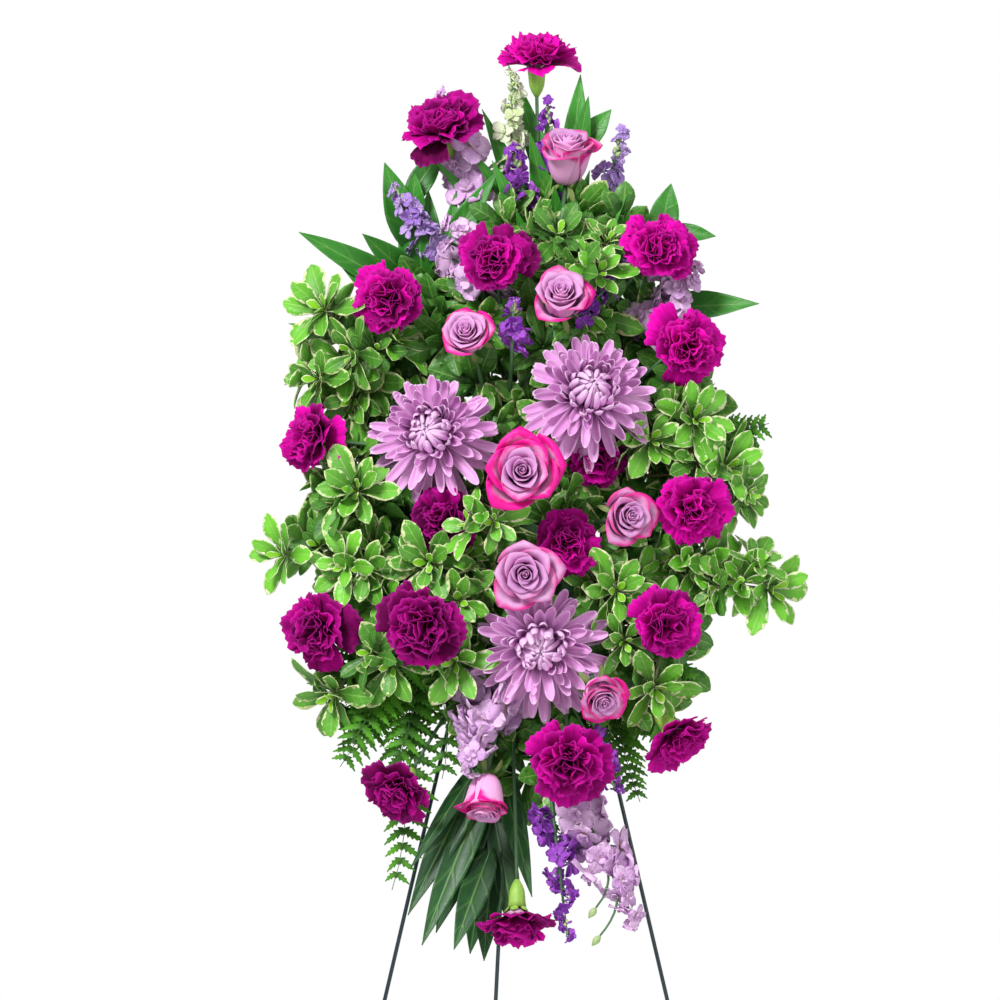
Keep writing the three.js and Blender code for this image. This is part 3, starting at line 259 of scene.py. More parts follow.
class Piece:
    """One piece in the making, of closed tubes and thin closed sheets. Its lengths are millimetres. Every
    point is marked with how far along and across its leaf or petal it is, with that petal's own tint, and
    with 1 on a petal's underside."""

    def __init__(self, name, *materials):
        self.name, self.materials = name, materials
        self.points, self.marks, self.quads, self.finishes, self.flats = [], [], [], [], []
        self.count = 0

    def put(self, points, marks, smooth, flat, finish):
        """Adds points with their marks, and the faces on them. finish is the number of their material."""
        self.points.append(points.reshape(-1, 3))
        self.marks.append(marks.reshape(-1, 4))
        for quads, is_flat in ((smooth, False), (flat, True)):
            self.quads.append(quads + self.count)
            self.finishes.append(np.full(len(quads), finish))
            self.flats.append(np.full(len(quads), is_flat))
        self.count += len(self.points[-1])

    def sheet(self, grid, thick, tint, finish=0):
        """A leaf or petal from a grid of points: rows from its base to its tip, columns across it."""
        rows, columns = grid.shape[:2]
        normal = np.cross(np.gradient(grid, axis=0), np.gradient(grid, axis=1))
        normal /= np.maximum(np.linalg.norm(normal, axis=2, keepdims=True), 1e-9)
        along = np.broadcast_to(np.linspace(0, 1, rows)[:, None], (rows, columns))
        across = np.broadcast_to(np.linspace(-1, 1, columns), (rows, columns))
        half = normal * (thick / 2 * (1 - 0.5 * across**2))[..., None]
        same = np.full((rows, columns), tint)
        marks = [np.stack([along, across, same, np.full((rows, columns), back)], -1) for back in (0, 1)]
        smooth, flat = sheet_quads(rows, columns)
        self.put(np.stack([grid + half, grid - half]), np.stack(marks), smooth, flat, finish)

    def tube(self, line, radii, sides=6, tint=0.5, finish=0):
        """A round wire or stem. Its two ends are closed."""
        line = np.asarray(line, float)
        runs = np.linalg.norm(np.diff(line, axis=0), axis=1)
        far = np.concatenate([[0], np.cumsum(runs)]) / runs.sum()
        radii = np.interp(far, np.linspace(0, 1, len(radii)), radii)
        ways = np.gradient(line, axis=0)
        ways /= np.linalg.norm(ways, axis=1, keepdims=True)
        x = square_to(ways[0])[0]
        angle = 2 * math.pi * np.arange(sides)[:, None] / sides
        rings = []
        for point, way, radius in zip(line, ways, radii):
            x = unit(x - way * x.dot(way))
            y = np.cross(way, x)
            rings.append(point + radius * (x * np.cos(angle) + y * np.sin(angle)))
        along = np.repeat(far, sides)
        across = np.tile(np.linspace(-1, 1, sides), len(line))
        marks = np.stack([along, across, np.full(along.shape, tint), np.zeros(along.shape)], -1)
        wall, ends = tube_quads(len(line), sides)
        self.put(np.array(rings), marks, wall, ends, finish)

    def finish(self, body, slot, node):
        """Makes the object, puts it on its body and hides the solid that it stands for."""
        quads = np.concatenate(self.quads)
        mesh = bpy.data.meshes.new(self.name)
        mesh.vertices.add(self.count)
        mesh.vertices.foreach_set("co", (np.concatenate(self.points) * MM).astype(np.float32).ravel())
        mesh.loops.add(quads.size)
        mesh.loops.foreach_set("vertex_index", quads.astype(np.int32).ravel())
        mesh.polygons.add(len(quads))
        mesh.polygons.foreach_set("loop_start", np.arange(0, quads.size, 4, dtype=np.int32))
        mesh.polygons.foreach_set("material_index", np.concatenate(self.finishes).astype(np.int32))
        mesh.attributes.new("sharp_face", "BOOLEAN", "FACE")
        mesh.attributes["sharp_face"].data.foreach_set("value", np.concatenate(self.flats))
        marks = np.concatenate(self.marks).astype(np.float32)
        for column, mark in enumerate(("along", "across", "tint", "back")):
            mesh.attributes.new(mark, "FLOAT", "POINT")
            mesh.attributes[mark].data.foreach_set("value", np.ascontiguousarray(marks[:, column]))
        for material in self.materials:
            mesh.materials.append(material)
        mesh.update(calc_edges=True)
        made = bpy.data.objects.new(self.name, mesh)
        bpy.context.collection.objects.link(made)
        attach(made, body)
        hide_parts(node)


enamel, tree, shader = new_material("green enamel", 0.32, Coat_Weight=0.3, Coat_Roughness=0.15)
patches, specks = grouped(tree, SPECKLE, 60.0)
enamel_colour = mixed(tree, patches, srgb(14, 36, 46), srgb(24, 50, 54))
chips = stepped(tree, specks, 0.7, 0.74)
tree.links.new(mixed(tree, chips, enamel_colour, srgb(70, 84, 82)), shader.inputs["Base Color"])
tree.links.new(sum_of(tree, "MULTIPLY_ADD", specks, 0.3, 0.22), shader.inputs["Roughness"])
roughened(tree, shader, specks, 0.25, 0.0002)

LEG_LENGTH = EASEL_HEIGHT / math.cos(LEAN)
SHOULDER = -HINGE_HALF / LEG_SPREAD - WIRE_BEND
BAR_END = HINGE_HALF - WIRE_RADIUS - GAP


def foot_of(start, way):
    """Where a leg meets the floor, a little short of it so that its square end doesn't reach below."""
    tilt = math.sqrt(1 - way[2] ** 2)
    return start - way * ((start[2] - WIRE_RADIUS * tilt) / way[2])


def leg(name, body, lines):
    """A piece of the easel's wire. Each line is the middle of one run of it."""
    piece = Piece(name + "_wire", enamel)
    for line in lines:
        piece.tube(line, [WIRE_RADIUS], WIRE_SIDES)
    piece.finish(body, "easel_wire", name)


def front_leg(side):
    """A front leg's line, from its foot up to its shoulder."""
    shoulder = on_slope(side * HINGE_HALF, SHOULDER, 0)
    way = unit(on_slope(side * LEG_SPREAD * LEG_LENGTH, -LEG_LENGTH, 0) - shoulder)
    return [foot_of(shoulder, way), shoulder]


bar_places = [(-HINGE_HALF, BAR_FOOT), (-HINGE_HALF + WIRE_BEND, 0), (BAR_END, 0)]
hinge_bar = [on_slope(u, v, 0) for u, v in bar_places]
leg("easel_leg_left", "stand", [softened([*front_leg(-1), *hinge_bar], share=0.12)])
right_top = on_slope(HINGE_HALF, RIGHT_TOP, 0)
leg("easel_leg_right", "stand", [softened([*front_leg(1), right_top], share=0.05)])

rear_way = unit(np.array([REAR_DRIFT, REAR_REACH, -EASEL_HEIGHT]))
eye_turn = np.linspace(0, 2 * math.pi, 25)
eye_start = math.atan2(rear_way[2], rear_way[1])
eye = [HINGE + EYE_RADIUS * np.array([0, math.cos(eye_start + a), math.sin(eye_start + a)]) for a in eye_turn]
leg("easel_leg_rear", "rear_leg", [[HINGE + EYE_RADIUS * rear_way, foot_of(HINGE, rear_way)], eye])


# The shelf that carries the cage: a cross wire welded to the front legs, and two arms that run out from
# it and turn up at their ends. It is the same enamelled wire.
SHELF_LEVEL = -227.8
CROSS_OUT = 2 * WIRE_RADIUS + GAP
CROSS_PAST_LEG = 8
ARM_OFFSET = 27
ARM_END = 80
ARM_RISE = 20
# An arm's way, as distances up from the shelf's level and out from the slope.
ARM_RUN = [(0, CROSS_OUT), (0, ARM_END - WIRE_BEND), (WIRE_BEND, ARM_END), (ARM_RISE, ARM_END)]

cross_half = LEG_SPREAD * -SHELF_LEVEL + CROSS_PAST_LEG
shelf_wires = [[on_slope(-cross_half, SHELF_LEVEL, CROSS_OUT), on_slope(cross_half, SHELF_LEVEL, CROSS_OUT)]]
for u in (-ARM_OFFSET, ARM_OFFSET):
    shelf_wires.append(softened([on_slope(u, SHELF_LEVEL + v, w) for v, w in ARM_RUN], share=0.3))
leg("easel_shelf", "stand", shelf_wires)


# The cage and its tie. The cage is moulded from green plastic: a shallow tray behind the foam, and thin
# ribs over it. The tie is coated wire, looped through the cage's lug and round the hinge bar.
TIE_U = 6.8
TIE_RADIUS = 0.7
TIE_SIDES = 8
# The middle line of the tie, as distances up the slope and out from the hinge.
TIE_ROUTE = [(-5.2, 0.5), (-5.2, 6.2), (-4, 7.3), (-0.5, 7.3), (3.2, 3), (3.6, -1), (1.5, -3.6), (-2.5, -3.6)]

plastic, tree, shader = new_material("cage plastic", 0.42)
patches, specks = grouped(tree, SPECKLE, 90.0)
tree.links.new(mixed(tree, patches, srgb(32, 84, 44), srgb(42, 100, 54)), shader.inputs["Base Color"])
tree.links.new(sum_of(tree, "MULTIPLY_ADD", specks, 0.3, 0.28), shader.inputs["Roughness"])
roughened(tree, shader, specks, 0.2, 0.0002)

# The route's start comes again, to bend its last corner too. The wire's two ends stand 5 mm apart.
tie_round = [on_slope(TIE_U, v, w) for v, w in [*TIE_ROUTE, *TIE_ROUTE[:2]]]
tie_line = softened(tie_round, share=0.3, steps=4)[1:-4]
tie = Piece("cage_tie_wire", plastic)
tie.tube(tie_line, [TIE_RADIUS], TIE_SIDES)
tie.finish("stand", "tie_wire", "cage_tie")


def refinish(node, material):
    """Gives one of the solids a better material, on its object."""
    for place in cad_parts[node].material_slots:
        place.link = "OBJECT"
        place.material = material


refinish("foam_cage", plastic)

# The floral foam. It is a soft phenolic foam, cut to a brick, soaked, and full of fine open cells. The
# stems' holes are cut in it.
foam, tree, shader = new_material("wet floral foam", 0.95)
place = add_node(tree, "TexCoord", {}).outputs["Object"]
cells = add_node(tree, "TexVoronoi", {"Vector": place, "Scale": 900.0})
patches, _ = grouped(tree, SPECKLE, 40.0)
foam_green = mixed(tree, patches, srgb(44, 84, 50), srgb(66, 112, 66))
pores = stepped(tree, cells.outputs["Distance"], 0.1, 0.5)
# The open cells are darker: painted shade in their hollows.
tree.links.new(mixed(tree, pores, srgb(24, 52, 32), foam_green), shader.inputs["Base Color"])
roughened(tree, shader, pores, 0.9, 0.001)
refinish("foam_block", foam)


# The stems. Each stands in its own hole in the foam and curves to its flower or leaves. A stem's line is
# worked out as for its solid, and of the ways it might go the one is taken where the solid has corners.
FOAM_HALF, FOAM_TOP, FOAM_BOTTOM, FOAM_FRONT = 50, -12, -222, 70
PORT_DEPTH = 20
PORT_COLUMNS = (-36, -18, 0, 18, 36)
PORT_LEVELS = (20, 35, 50)
PORT_ROWS = [FOAM_TOP - 30 - 15 * row for row in range(11)]
DIRECT = 0.45  # how far a stem leans from its hole's own way towards its tip
STRAIGHT = 6  # how far it runs straight out of its hole
STEM_SIDES = 8
STEM, GREEN = 1, 2  # the number of the stem's material in a piece, and of its buds' or calyx's
HALFWAY = [0, 0.5, 1]  # a stem's curve is drawn through its two ends and its middle

# Where a stem may enter the foam, and the way out of the foam there.
PORTS = []
for v in PORT_ROWS:
    PORTS += [(on_slope(u, v, FOAM_FRONT), OUTWARD) for u in PORT_COLUMNS]
    PORTS += [(on_slope(side * FOAM_HALF, v, w), side * ACROSS) for side in (-1, 1) for w in PORT_LEVELS]
for u in PORT_COLUMNS:
    PORTS += [(on_slope(u, FOAM_TOP, w), UP_SLOPE) for w in PORT_LEVELS]
    PORTS += [(on_slope(u, FOAM_BOTTOM, w), -UP_SLOPE) for w in PORT_LEVELS]

# How far the middle of a stem may be pushed aside, and which way.
BOWS = [np.zeros(3)]
for far in (12, 24, 36):
    for way in map(math.radians, (-90, 0, 180, 90, -45, -135, 45, 135)):
        BOWS.append(far * (math.cos(way) * ACROSS + math.sin(way) * UP_SLOPE))


def in_front(x, z, out):
    """A point given by its place in the front view and its distance in front of the easel."""
    return np.array([x, HINGE[1] - (EASEL_HEIGHT - z) * math.tan(LEAN) - out, z])


def facing(turn, lift):
    """A direction: turned to the right, and lifted, from straight ahead."""
    turn, lift = math.radians(turn), math.radians(lift)
    return np.array([math.sin(turn) * math.cos(lift), -math.cos(turn) * math.cos(lift), math.sin(lift)])


def bezier(handles, t):
    """The points of a curve at the shares t, from its two ends and the two handles between them."""
    t = np.asarray(t, float)[..., None]
    a, b, c, d = handles
    return (1 - t) ** 3 * a + 3 * t * (1 - t) ** 2 * b + 3 * t**2 * (1 - t) * c + t**3 * d


@functools.cache
def corners(node):
    """The corners of a node's solid, in millimetres, for quick searching."""
    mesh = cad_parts[node].data
    tree = KDTree(len(mesh.vertices))
    for index, vertex in enumerate(mesh.vertices):
        tree.insert(vertex.co / MM, index)
    tree.balance()
    return tree


def has_corner(node, point):
    """Whether a node's solid has a corner at a point, or within 0.3 mm of it."""
    return corners(node).find(point)[2] < 0.3


def ring_corners(node, centre, radius):
    """How many of the solid's corners stand on a ring of this radius."""
    near = corners(node).find_range(centre, radius + 0.2)
    return sum(abs(distance - radius) < 0.15 for _, _, distance in near)


def lead_stem(node, neck, axis, thick, middle, share=0.5):
    """Finds a stem's way, from its radius in the foam and its radius at a share of its curve. Returns its
    place inside the foam and the handles of its curve."""

    def inner(port):
        lean = unit((1 - DIRECT) * port[1] + DIRECT * unit(neck - port[0]))
        return port[0] - PORT_DEPTH * lean, lean

    port = max(PORTS, key=lambda port: ring_corners(node, inner(port)[0], thick))
    root, lean = inner(port)
    reach = np.linalg.norm(neck - port[0])
    start = port[0] + STRAIGHT * lean
    ahead = start + 0.35 * reach * lean
    before = neck - 0.35 * reach * axis
    return root, bowed(node, (start, ahead, before, neck), share, middle)


def bowed(node, handles, share, radius):
    """The handles of a curve, bowed sideways as its solid is."""
    start, ahead, before, neck = handles
    ways = [np.array([start, ahead + bow, before + bow, neck]) for bow in BOWS]
    return max(ways, key=lambda handles: ring_corners(node, bezier(handles, share), radius))


def main_stem(piece, node, tip, axis, thick, thin):
    """Adds the stem that a spray or bloom stands on. Returns its line outside the foam, and the handles of
    that line's curve."""
    root, handles = lead_stem(node, tip, axis, thick, (thick + thin) / 2)
    line = bezier(handles, HALFWAY)
    piece.tube(softened([root, *line]), [thick, thick, thin], STEM_SIDES, finish=STEM)
    return line, handles


def side_stem(node, start, way, tip, axis, share, radius):
    """The handles of the curve of a stem that leaves another one at start."""
    reach = np.linalg.norm(tip - start)
    straight = (start, start + 0.3 * reach * way, tip - 0.35 * reach * axis, tip)
    return bowed(node, straight, share, radius)


def along_line(line, share):
    """The point and the direction at a share of the length of a line of straight runs."""
    runs = np.diff(line, axis=0)
    ends = np.concatenate([[0], np.cumsum(np.linalg.norm(runs, axis=1))])
    far = share * ends[-1]
    run = min(int(np.searchsorted(ends, far, side="right")) - 1, len(runs) - 1)
    way = unit(runs[run])
    return line[run] + way * (far - ends[run]), way


# Ruscus. Each spray is a wiry stem with large, tough, pointed leaves, dark and glossy, with a pale rib.
# Florists push it in first: it makes the points at the top, the shoulders and the bottom.
def marks(tree):
    """How far along and across its leaf or petal a point is, the petal's own tint, and its underside."""
    kinds = ("along", "across", "tint", "back")
    return [add_node(tree, "Attribute", {}, attribute_name=kind).outputs["Fac"] for kind in kinds]


def faded(tree, value, low, high):
    """1 below low and 0 above high, with a smooth way between."""
    return sum_of(tree, "SUBTRACT", 1.0, stepped(tree, value, low, high))


def laid_over(tree, colour, mask, most, top):
    """The colour with another on top of it where the mask is 1. most is how much of the top one shows."""
    return mixed(tree, sum_of(tree, "MULTIPLY", mask, most), colour, top)


def vein_group():
    """A leaf's rib down its middle, and pairs of side veins that slant up to its edges."""
    tree, given, out = new_group("Leaf veins", ["Along", "Across", "Pairs"], ["Rib", "Veins"])
    aside = sum_of(tree, "ABSOLUTE", given["Across"])
    slant = sum_of(tree, "MULTIPLY", aside, 0.14)
    place = sum_of(tree, "MULTIPLY", sum_of(tree, "SUBTRACT", given["Along"], slant), given["Pairs"])
    ridge = sum_of(tree, "PINGPONG", place, 0.5)
    tree.links.new(faded(tree, aside, 0.02, 0.1), out["Rib"])
    tree.links.new(faded(tree, ridge, 0.02, 0.12), out["Veins"])
    return tree


def streak_group():
    """Fine streaks that run along a petal, leaf or stem and differ from one to the next."""
    tree, given, out = new_group("Streaks", ["Along", "Across", "Tint", "Count"], ["Streaks"])
    wide = sum_of(tree, "MULTIPLY", given["Across"], given["Count"])
    far = sum_of(tree, "MULTIPLY", given["Along"], 1.6)
    own = sum_of(tree, "MULTIPLY", given["Tint"], 40.0)
    place = add_node(tree, "CombineXYZ", {0: wide, 1: far, 2: own}).outputs[0]
    noise = add_node(tree, "TexNoise", {"Vector": place, "Scale": 1.0, "Detail": 2.0})
    tree.links.new(stepped(tree, noise.outputs[0], 0.3, 0.7), out["Streaks"])
    return tree


VEINS = vein_group()
STREAKS = streak_group()


def leafy_material(name, roughness, deep, bright, rib_colour, under, pairs, **sockets):
    """A green leaf: its two greens differ from leaf to leaf, with a pale rib and side veins, and painted
    shade darkens it towards its base.
    """
    made, tree, shader = new_material(name, roughness, **sockets)
    along, across, tint, back = marks(tree)
    rib, veins = grouped(tree, VEINS, along, across, pairs)
    patches, specks = grouped(tree, SPECKLE, 70.0)
    streaks = grouped(tree, STREAKS, along, across, tint, 7.0)[0]
    tinted, patched = sum_of(tree, "MULTIPLY", tint, 0.75), sum_of(tree, "MULTIPLY", patches, 0.35)
    share = sum_of(tree, "ADD", tinted, patched)
    share = add_node(tree, "Clamp", {0: share}).outputs[0]
    colour = mixed(tree, share, srgb(*deep), srgb(*bright))
    colour = laid_over(tree, colour, streaks, 0.12, srgb(*bright))
    colour = laid_over(tree, colour, veins, 0.14, srgb(*rib_colour))
    colour = laid_over(tree, colour, rib, 0.45, srgb(*rib_colour))
    colour = laid_over(tree, colour, back, 0.6, srgb(*under))
    # Painted shade: each leaf darkens towards its base, where the leaves crowd together.
    colour = laid_over(tree, colour, faded(tree, along, 0.0, 0.6), 0.6, srgb(*[0.45 * c for c in deep]))
    tree.links.new(colour, shader.inputs["Base Color"])
    height = sum_of(tree, "ADD", sum_of(tree, "MAXIMUM", rib, veins), sum_of(tree, "MULTIPLY", specks, 0.4))
    roughened(tree, shader, height, 0.5, 0.0004)
    tree.links.new(sum_of(tree, "MULTIPLY_ADD", specks, 0.25, roughness - 0.1), shader.inputs["Roughness"])
    return made, tree, shader, colour


def stem_material(name, deep, pale):
    """A green or woody skin, streaked along the stem and patched."""
    made, tree, shader = new_material(name, 0.5)
    along, across, tint, _ = marks(tree)
    streaks = grouped(tree, STREAKS, along, across, tint, 5.0)[0]
    patches, specks = grouped(tree, SPECKLE, 120.0)
    streaked, patched = sum_of(tree, "MULTIPLY", streaks, 0.4), sum_of(tree, "MULTIPLY", patches, 0.6)
    share = sum_of(tree, "ADD", streaked, patched)
    tree.links.new(mixed(tree, share, srgb(*deep), srgb(*pale)), shader.inputs["Base Color"])
    roughened(tree, shader, sum_of(tree, "ADD", streaks, specks), 0.4, 0.0003)
    return made


def shares(rows, columns):
    """How far along a leaf or petal its rows are, 0 to 1, and how far across it its columns, -1 to 1."""
    return np.linspace(0, 1, rows)[:, None], np.linspace(-1, 1, columns)[None, :]


def leaf(base, along, face, length, half, outline, rows, columns, cup, arch, wave, phase):
    """A leaf's grid. outline gives its width at each share of its length; cup raises its edges, arch its
    middle, and wave makes its edges rise and fall."""
    t, u = shares(rows, columns)
    t = 1 - (1 - t) ** 1.6
    side = unit(np.cross(face, along))
    up = np.cross(along, side)
    wide = half * np.maximum(outline(t), 0.03)
    rise = cup * wide * u**2 + arch * length * np.sin(math.pi * t)
    rise = rise + wave * half * np.sin(phase + 11 * t + 2 * np.sign(u)) * u**2 * np.sin(math.pi * t)
    return base + t[..., None] * length * along + (wide * u)[..., None] * side + rise[..., None] * up


ruscus_leaf, *_ = leafy_material(
    "ruscus leaf", 0.42, (12, 62, 26), (62, 154, 40), (130, 180, 90), (84, 142, 62), 5.0,
    Specular_IOR_Level=0.45,
)
green_stem = stem_material("green stem", (44, 84, 62), (96, 140, 84))

RUSCUS_ROWS, RUSCUS_COLUMNS = 15, 9
RUSCUS_THICK = 0.7
# A row is the stem's tip as [x, height, distance in front, turn, lift], how light its leaves are, then each
# leaf as [share along the stem, x, height and distance in front of the leaf's own tip, half its width]. The
# spray that hangs below the flowers is given dark leaves: painted shade.
RUSCUS = [
    ["ruscus_01", [57, 1487, 33, 20, 70], 0.8,
        [[0.72, 55, 1537, 43, 13], [0.8, 63, 1515, 54, 10], [0.9, 86, 1502, 40, 12], [0.6, -18, 1548, 27, 12],
            [0.42, 29, 1424, 100, 13], [0.42, -62, 1468, 45, 12], [0.36, -93, 1452, 60, 11],
            [0.5, 20, 1490, 64, 12], [0.3, 64, 1440, 76, 13], [0.34, -34, 1450, 84, 13],
            [0.25, 104, 1424, 70, 13], [0.25, -10, 1400, 90, 13], [0.4, -44, 1502, 50, 13],
            [0.45, 4, 1478, 76, 14], [0.45, 36, 1462, 50, 13]]],
    ["ruscus_02", [-123, 1416, 48, -40, 45], 0.55,
        [[0.55, -228, 1378, 72, 15], [0.75, -142, 1448, 72, 17], [0.85, -111, 1437, 62, 13],
            [0.6, -164, 1376, 100, 15], [0.95, -84, 1462, 45, 13], [0.6, -28, 1440, 70, 14],
            [0.35, -240, 1308, 62, 13], [0.28, -238, 1286, 80, 12], [0.5, -110, 1400, 76, 14],
            [0.4, -70, 1420, 60, 13], [0.3, -190, 1350, 60, 14], [0.5, -98, 1420, 40, 18],
            [0.42, -126, 1398, 44, 18]]],
    ["ruscus_03", [143, 1402, 48, 38, 45], 0.6,
        [[0.85, 146, 1427, 52, 15], [0.6, 86, 1407, 64, 13], [0.9, 191, 1374, 52, 10],
            [0.55, 234, 1306, 80, 16], [0.45, 165, 1306, 42, 14]]],
    ["ruscus_04", [-33, 724, 43, -5, -78], -0.3,
        [[0.5, -118, 694, 60, 16], [0.6, -104, 664, 66, 16], [0.85, -42, 648, 64, 15],
            [0.72, -8, 662, 50, 14], [0.5, -116, 740, 84, 9], [0.85, -72, 660, 80, 15],
            [0.45, 6, 712, 60, 13], [0.6, -90, 676, 30, 18], [0.75, -56, 655, 24, 18],
            [0.55, -16, 690, 20, 17]]],
]
# The ways in which the solid's leaf may differ from its row: [its width, its tip's distance in front, how
# far its face looks up].
RUSCUS_TRIES = [
    (width, nearer, upward)
    for width in (1, 0.75, 0.6)
    for nearer, upward in ((0, 0), (12, 0), (-12, 0), (24, 0.5), (-24, 0.5), (0, 1))
]
# Where the solid's leaf is widest, how far it is arched there, and how far its tip hangs.
WIDEST, ARCHED, HANGING = 0.38, 3, 2


def ruscus_outline(t):
    """The width of a leaf that is widest below its middle and drawn out to a point."""
    return np.sin(math.pi * t**0.82) ** 0.8 * (1 - 0.3 * t**5)


def ruscus_choice(node, root, x, z, out, half):
    """How the solid's leaf lies: its tip, its face and half its width."""

    def lies(width, nearer, upward):
        tip, face = in_front(x, z, out + nearer), np.array([0, -1, 0.3]) + upward * UP_SLOPE
        along, length = unit(tip - root), np.linalg.norm(tip - root)
        side = unit(np.cross(face, along))
        up = np.cross(along, side)
        at = root + WIDEST * length * along + ARCHED * up
        found = sum(has_corner(node, at + hand * half * width * side) for hand in (-1, 1))
        found += has_corner(node, tip - HANGING * up)
        return found, tip, face, half * width

    return max((lies(*each) for each in RUSCUS_TRIES), key=lambda way: way[0])[1:]


for seed, (name, top, light, leaves) in enumerate(RUSCUS, start=100):
    draw = np.random.default_rng(seed)
    piece = Piece(name + "_spray", ruscus_leaf, green_stem)
    line, _ = main_stem(piece, name, in_front(*top[:3]), facing(*top[3:]), 1.8, 1.0)
    for share, *row in leaves:
        start, _ = along_line(line, share)
        tip, face, half = ruscus_choice(name, start, *row)
        grid = leaf(
            start, unit(tip - start), face, np.linalg.norm(tip - start), half, ruscus_outline,
            RUSCUS_ROWS, RUSCUS_COLUMNS, cup=0.28, arch=0.035, wave=0.12, phase=draw.uniform(0, 6),
        )
        # light sets the leaves' tint; for the spray that hangs below the flowers it is painted shade.
        piece.sheet(grid, RUSCUS_THICK, light + draw.uniform(-0.15, 0.25))
        piece.tube([start, grid[2, RUSCUS_COLUMNS // 2]], [1.0, 0.7], finish=STEM)
    piece.finish("stand", "ruscus_leaf", name)


# Variegated pittosporum. Woody twigs end in whorls of blunt, wavy leaves, grey-green with cream margins,
# round a tuft of small young leaves. It fills the whole middle of the spray behind the flowers.
def variegated_material():
    """A leafy material with ragged cream margins, and a fresh green for the young leaves."""
    made, tree, shader, colour = leafy_material(
        "variegated leaf", 0.4, (32, 78, 38), (118, 204, 50), (160, 212, 104), (114, 176, 78), 6.0,
        Specular_IOR_Level=0.45,
    )
    along, across, tint, _ = marks(tree)
    patches, _ = grouped(tree, SPECKLE, 160.0)
    aside = sum_of(tree, "ABSOLUTE", across)
    outside = sum_of(tree, "MAXIMUM", aside, sum_of(tree, "ADD", along, -0.06))
    ragged = sum_of(tree, "MULTIPLY_ADD", patches, 1.1, sum_of(tree, "ADD", outside, -0.55))
    # A leaf of low tint loses its cream margin. On the dark leaves deep in the spray this is painted shade.
    margin = sum_of(tree, "MULTIPLY", stepped(tree, ragged, 0.79, 0.9), stepped(tree, tint, 0.05, 0.3))
    cream = mixed(tree, tint, srgb(206, 216, 140), srgb(238, 240, 200))
    colour = laid_over(tree, colour, stepped(tree, tint, 1.2, 1.3), 0.85, srgb(140, 205, 40))
    colour = laid_over(tree, colour, margin, 0.85, cream)
    tree.links.new(colour, shader.inputs["Base Color"])
    return made


pittosporum_leaf = variegated_material()
woody_stem = stem_material("woody twig", (84, 72, 48), (120, 124, 74))

# A row is the main twig's whorl, then the side whorls. A whorl is [x, height, distance in front, turn,
# lift, leaf length] and, for a side twig, the share of the main twig at which it leaves.
PITTOSPORUM = [
    ["pittosporum_01", [-201, 1299, 106, -35, 25, 40],
        [[-150, 1258, 112, -10, 5, 40, 0.62], [-206, 1230, 90, -45, 0, 37, 0.5],
            [-172, 1212, 74, -20, -10, 36, 0.45]]],
    ["pittosporum_02", [-240, 1054, 86, -50, 0, 38],
        [[-168, 1117, 118, -20, 10, 42, 0.55], [-160, 1040, 112, -15, -5, 38, 0.62],
            [-206, 1062, 74, -30, 10, 36, 0.8], [-186, 1150, 80, -35, 25, 36, 0.4]]],
    ["pittosporum_03", [-192, 916, 74, -35, -35, 42],
        [[-142, 1014, 100, -20, 0, 38, 0.4], [-134, 946, 112, -10, -20, 38, 0.6]]],
    ["pittosporum_04", [-70, 949, 128, -12, -15, 38],
        [[-96, 1046, 134, -15, 0, 40, 0.3], [-32, 1088, 172, -5, 0, 40, 0.05],
            [-68, 1008, 134, 0, 0, 34, 0.6]]],
    ["pittosporum_05", [80, 1366, 124, 10, 40, 38],
        [[32, 1372, 128, 0, 40, 36, 0.7], [72, 1336, 140, 10, 20, 36, 0.75],
            [68, 1282, 96, 10, 0, 31, 0.4]]],
    ["pittosporum_06", [198, 1140, 92, 40, 5, 40],
        [[168, 1188, 108, 25, 15, 40, 0.7], [124, 1168, 118, 15, 10, 34, 0.5],
            [208, 1110, 64, 50, 0, 36, 0.8]]],
    ["pittosporum_07", [242, 1020, 86, 45, -5, 40],
        [[168, 1045, 96, 25, 0, 38, 0.6], [216, 1026, 96, 30, -20, 38, 0.85],
            [90, 1018, 124, 10, 0, 38, 0.2], [98, 968, 124, 10, -15, 38, 0.35],
            [128, 922, 104, 20, -25, 36, 0.4]]],
]
# How far the leaves deep in the spray, near the foam, reach, as [height, left, right].
THICKET = [
    [1396, -20, 110], [1350, -30, 120], [1320, -120, 125], [1260, -170, 150], [1200, -150, 165],
    [1130, -165, 180], [1060, -185, 190], [1000, -165, 190], [940, -140, 140], [900, -60, 110],
    [860, -30, 80], [830, 0, 50],
]
# Places where light would show through between the blooms, as [x, height].
OPENINGS = [
    [-50, 1225], [-14, 1224], [64, 1120], [-82, 1040], [-166, 1168], [-40, 1150], [20, 1180],
    [-66, 1242], [-50, 1212], [52, 1106], [36, 1116],
]
SPOT_GAP = 31
SPOT_OUT = (28, 58)  # how far the leaves deep in the spray are in front of the easel, from and to
DEEP_SHARES = np.linspace(0.02, 0.9, 12)  # where along the main twig a deep twig may start
WAYS_TRIED = 16  # the nearest places from which a deep twig may come
PITTOSPORUM_THICK = 0.6
GOLDEN = math.radians(137.5)  # the turn from one leaf to the next round a stem
YOUNG = 1.4  # the tint that marks a young leaf
# The tiers of a whorl: [leaves, length, how steeply they rise, tint added].
TIERS = [[6, 1.28, 0.3, 0.0], [3, 1.0, 0.9, 0.0], [3, 0.5, 1.7, YOUNG]]


def solids_tree(*kinds):
    """The solids whose names start with one of these words, for testing what is in the way."""
    points, faces = [], []
    for name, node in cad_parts.items():
        if name.startswith(kinds):
            first = len(points)
            points += [vertex.co.copy() for vertex in node.data.vertices]
            faces += [[first + v for v in face.vertices] for face in node.data.polygons]
    return BVHTree.FromPolygons(points, faces)


FLOWERS_AND_FOAM = solids_tree("carnation", "rose", "chrysanthemum", "foam")


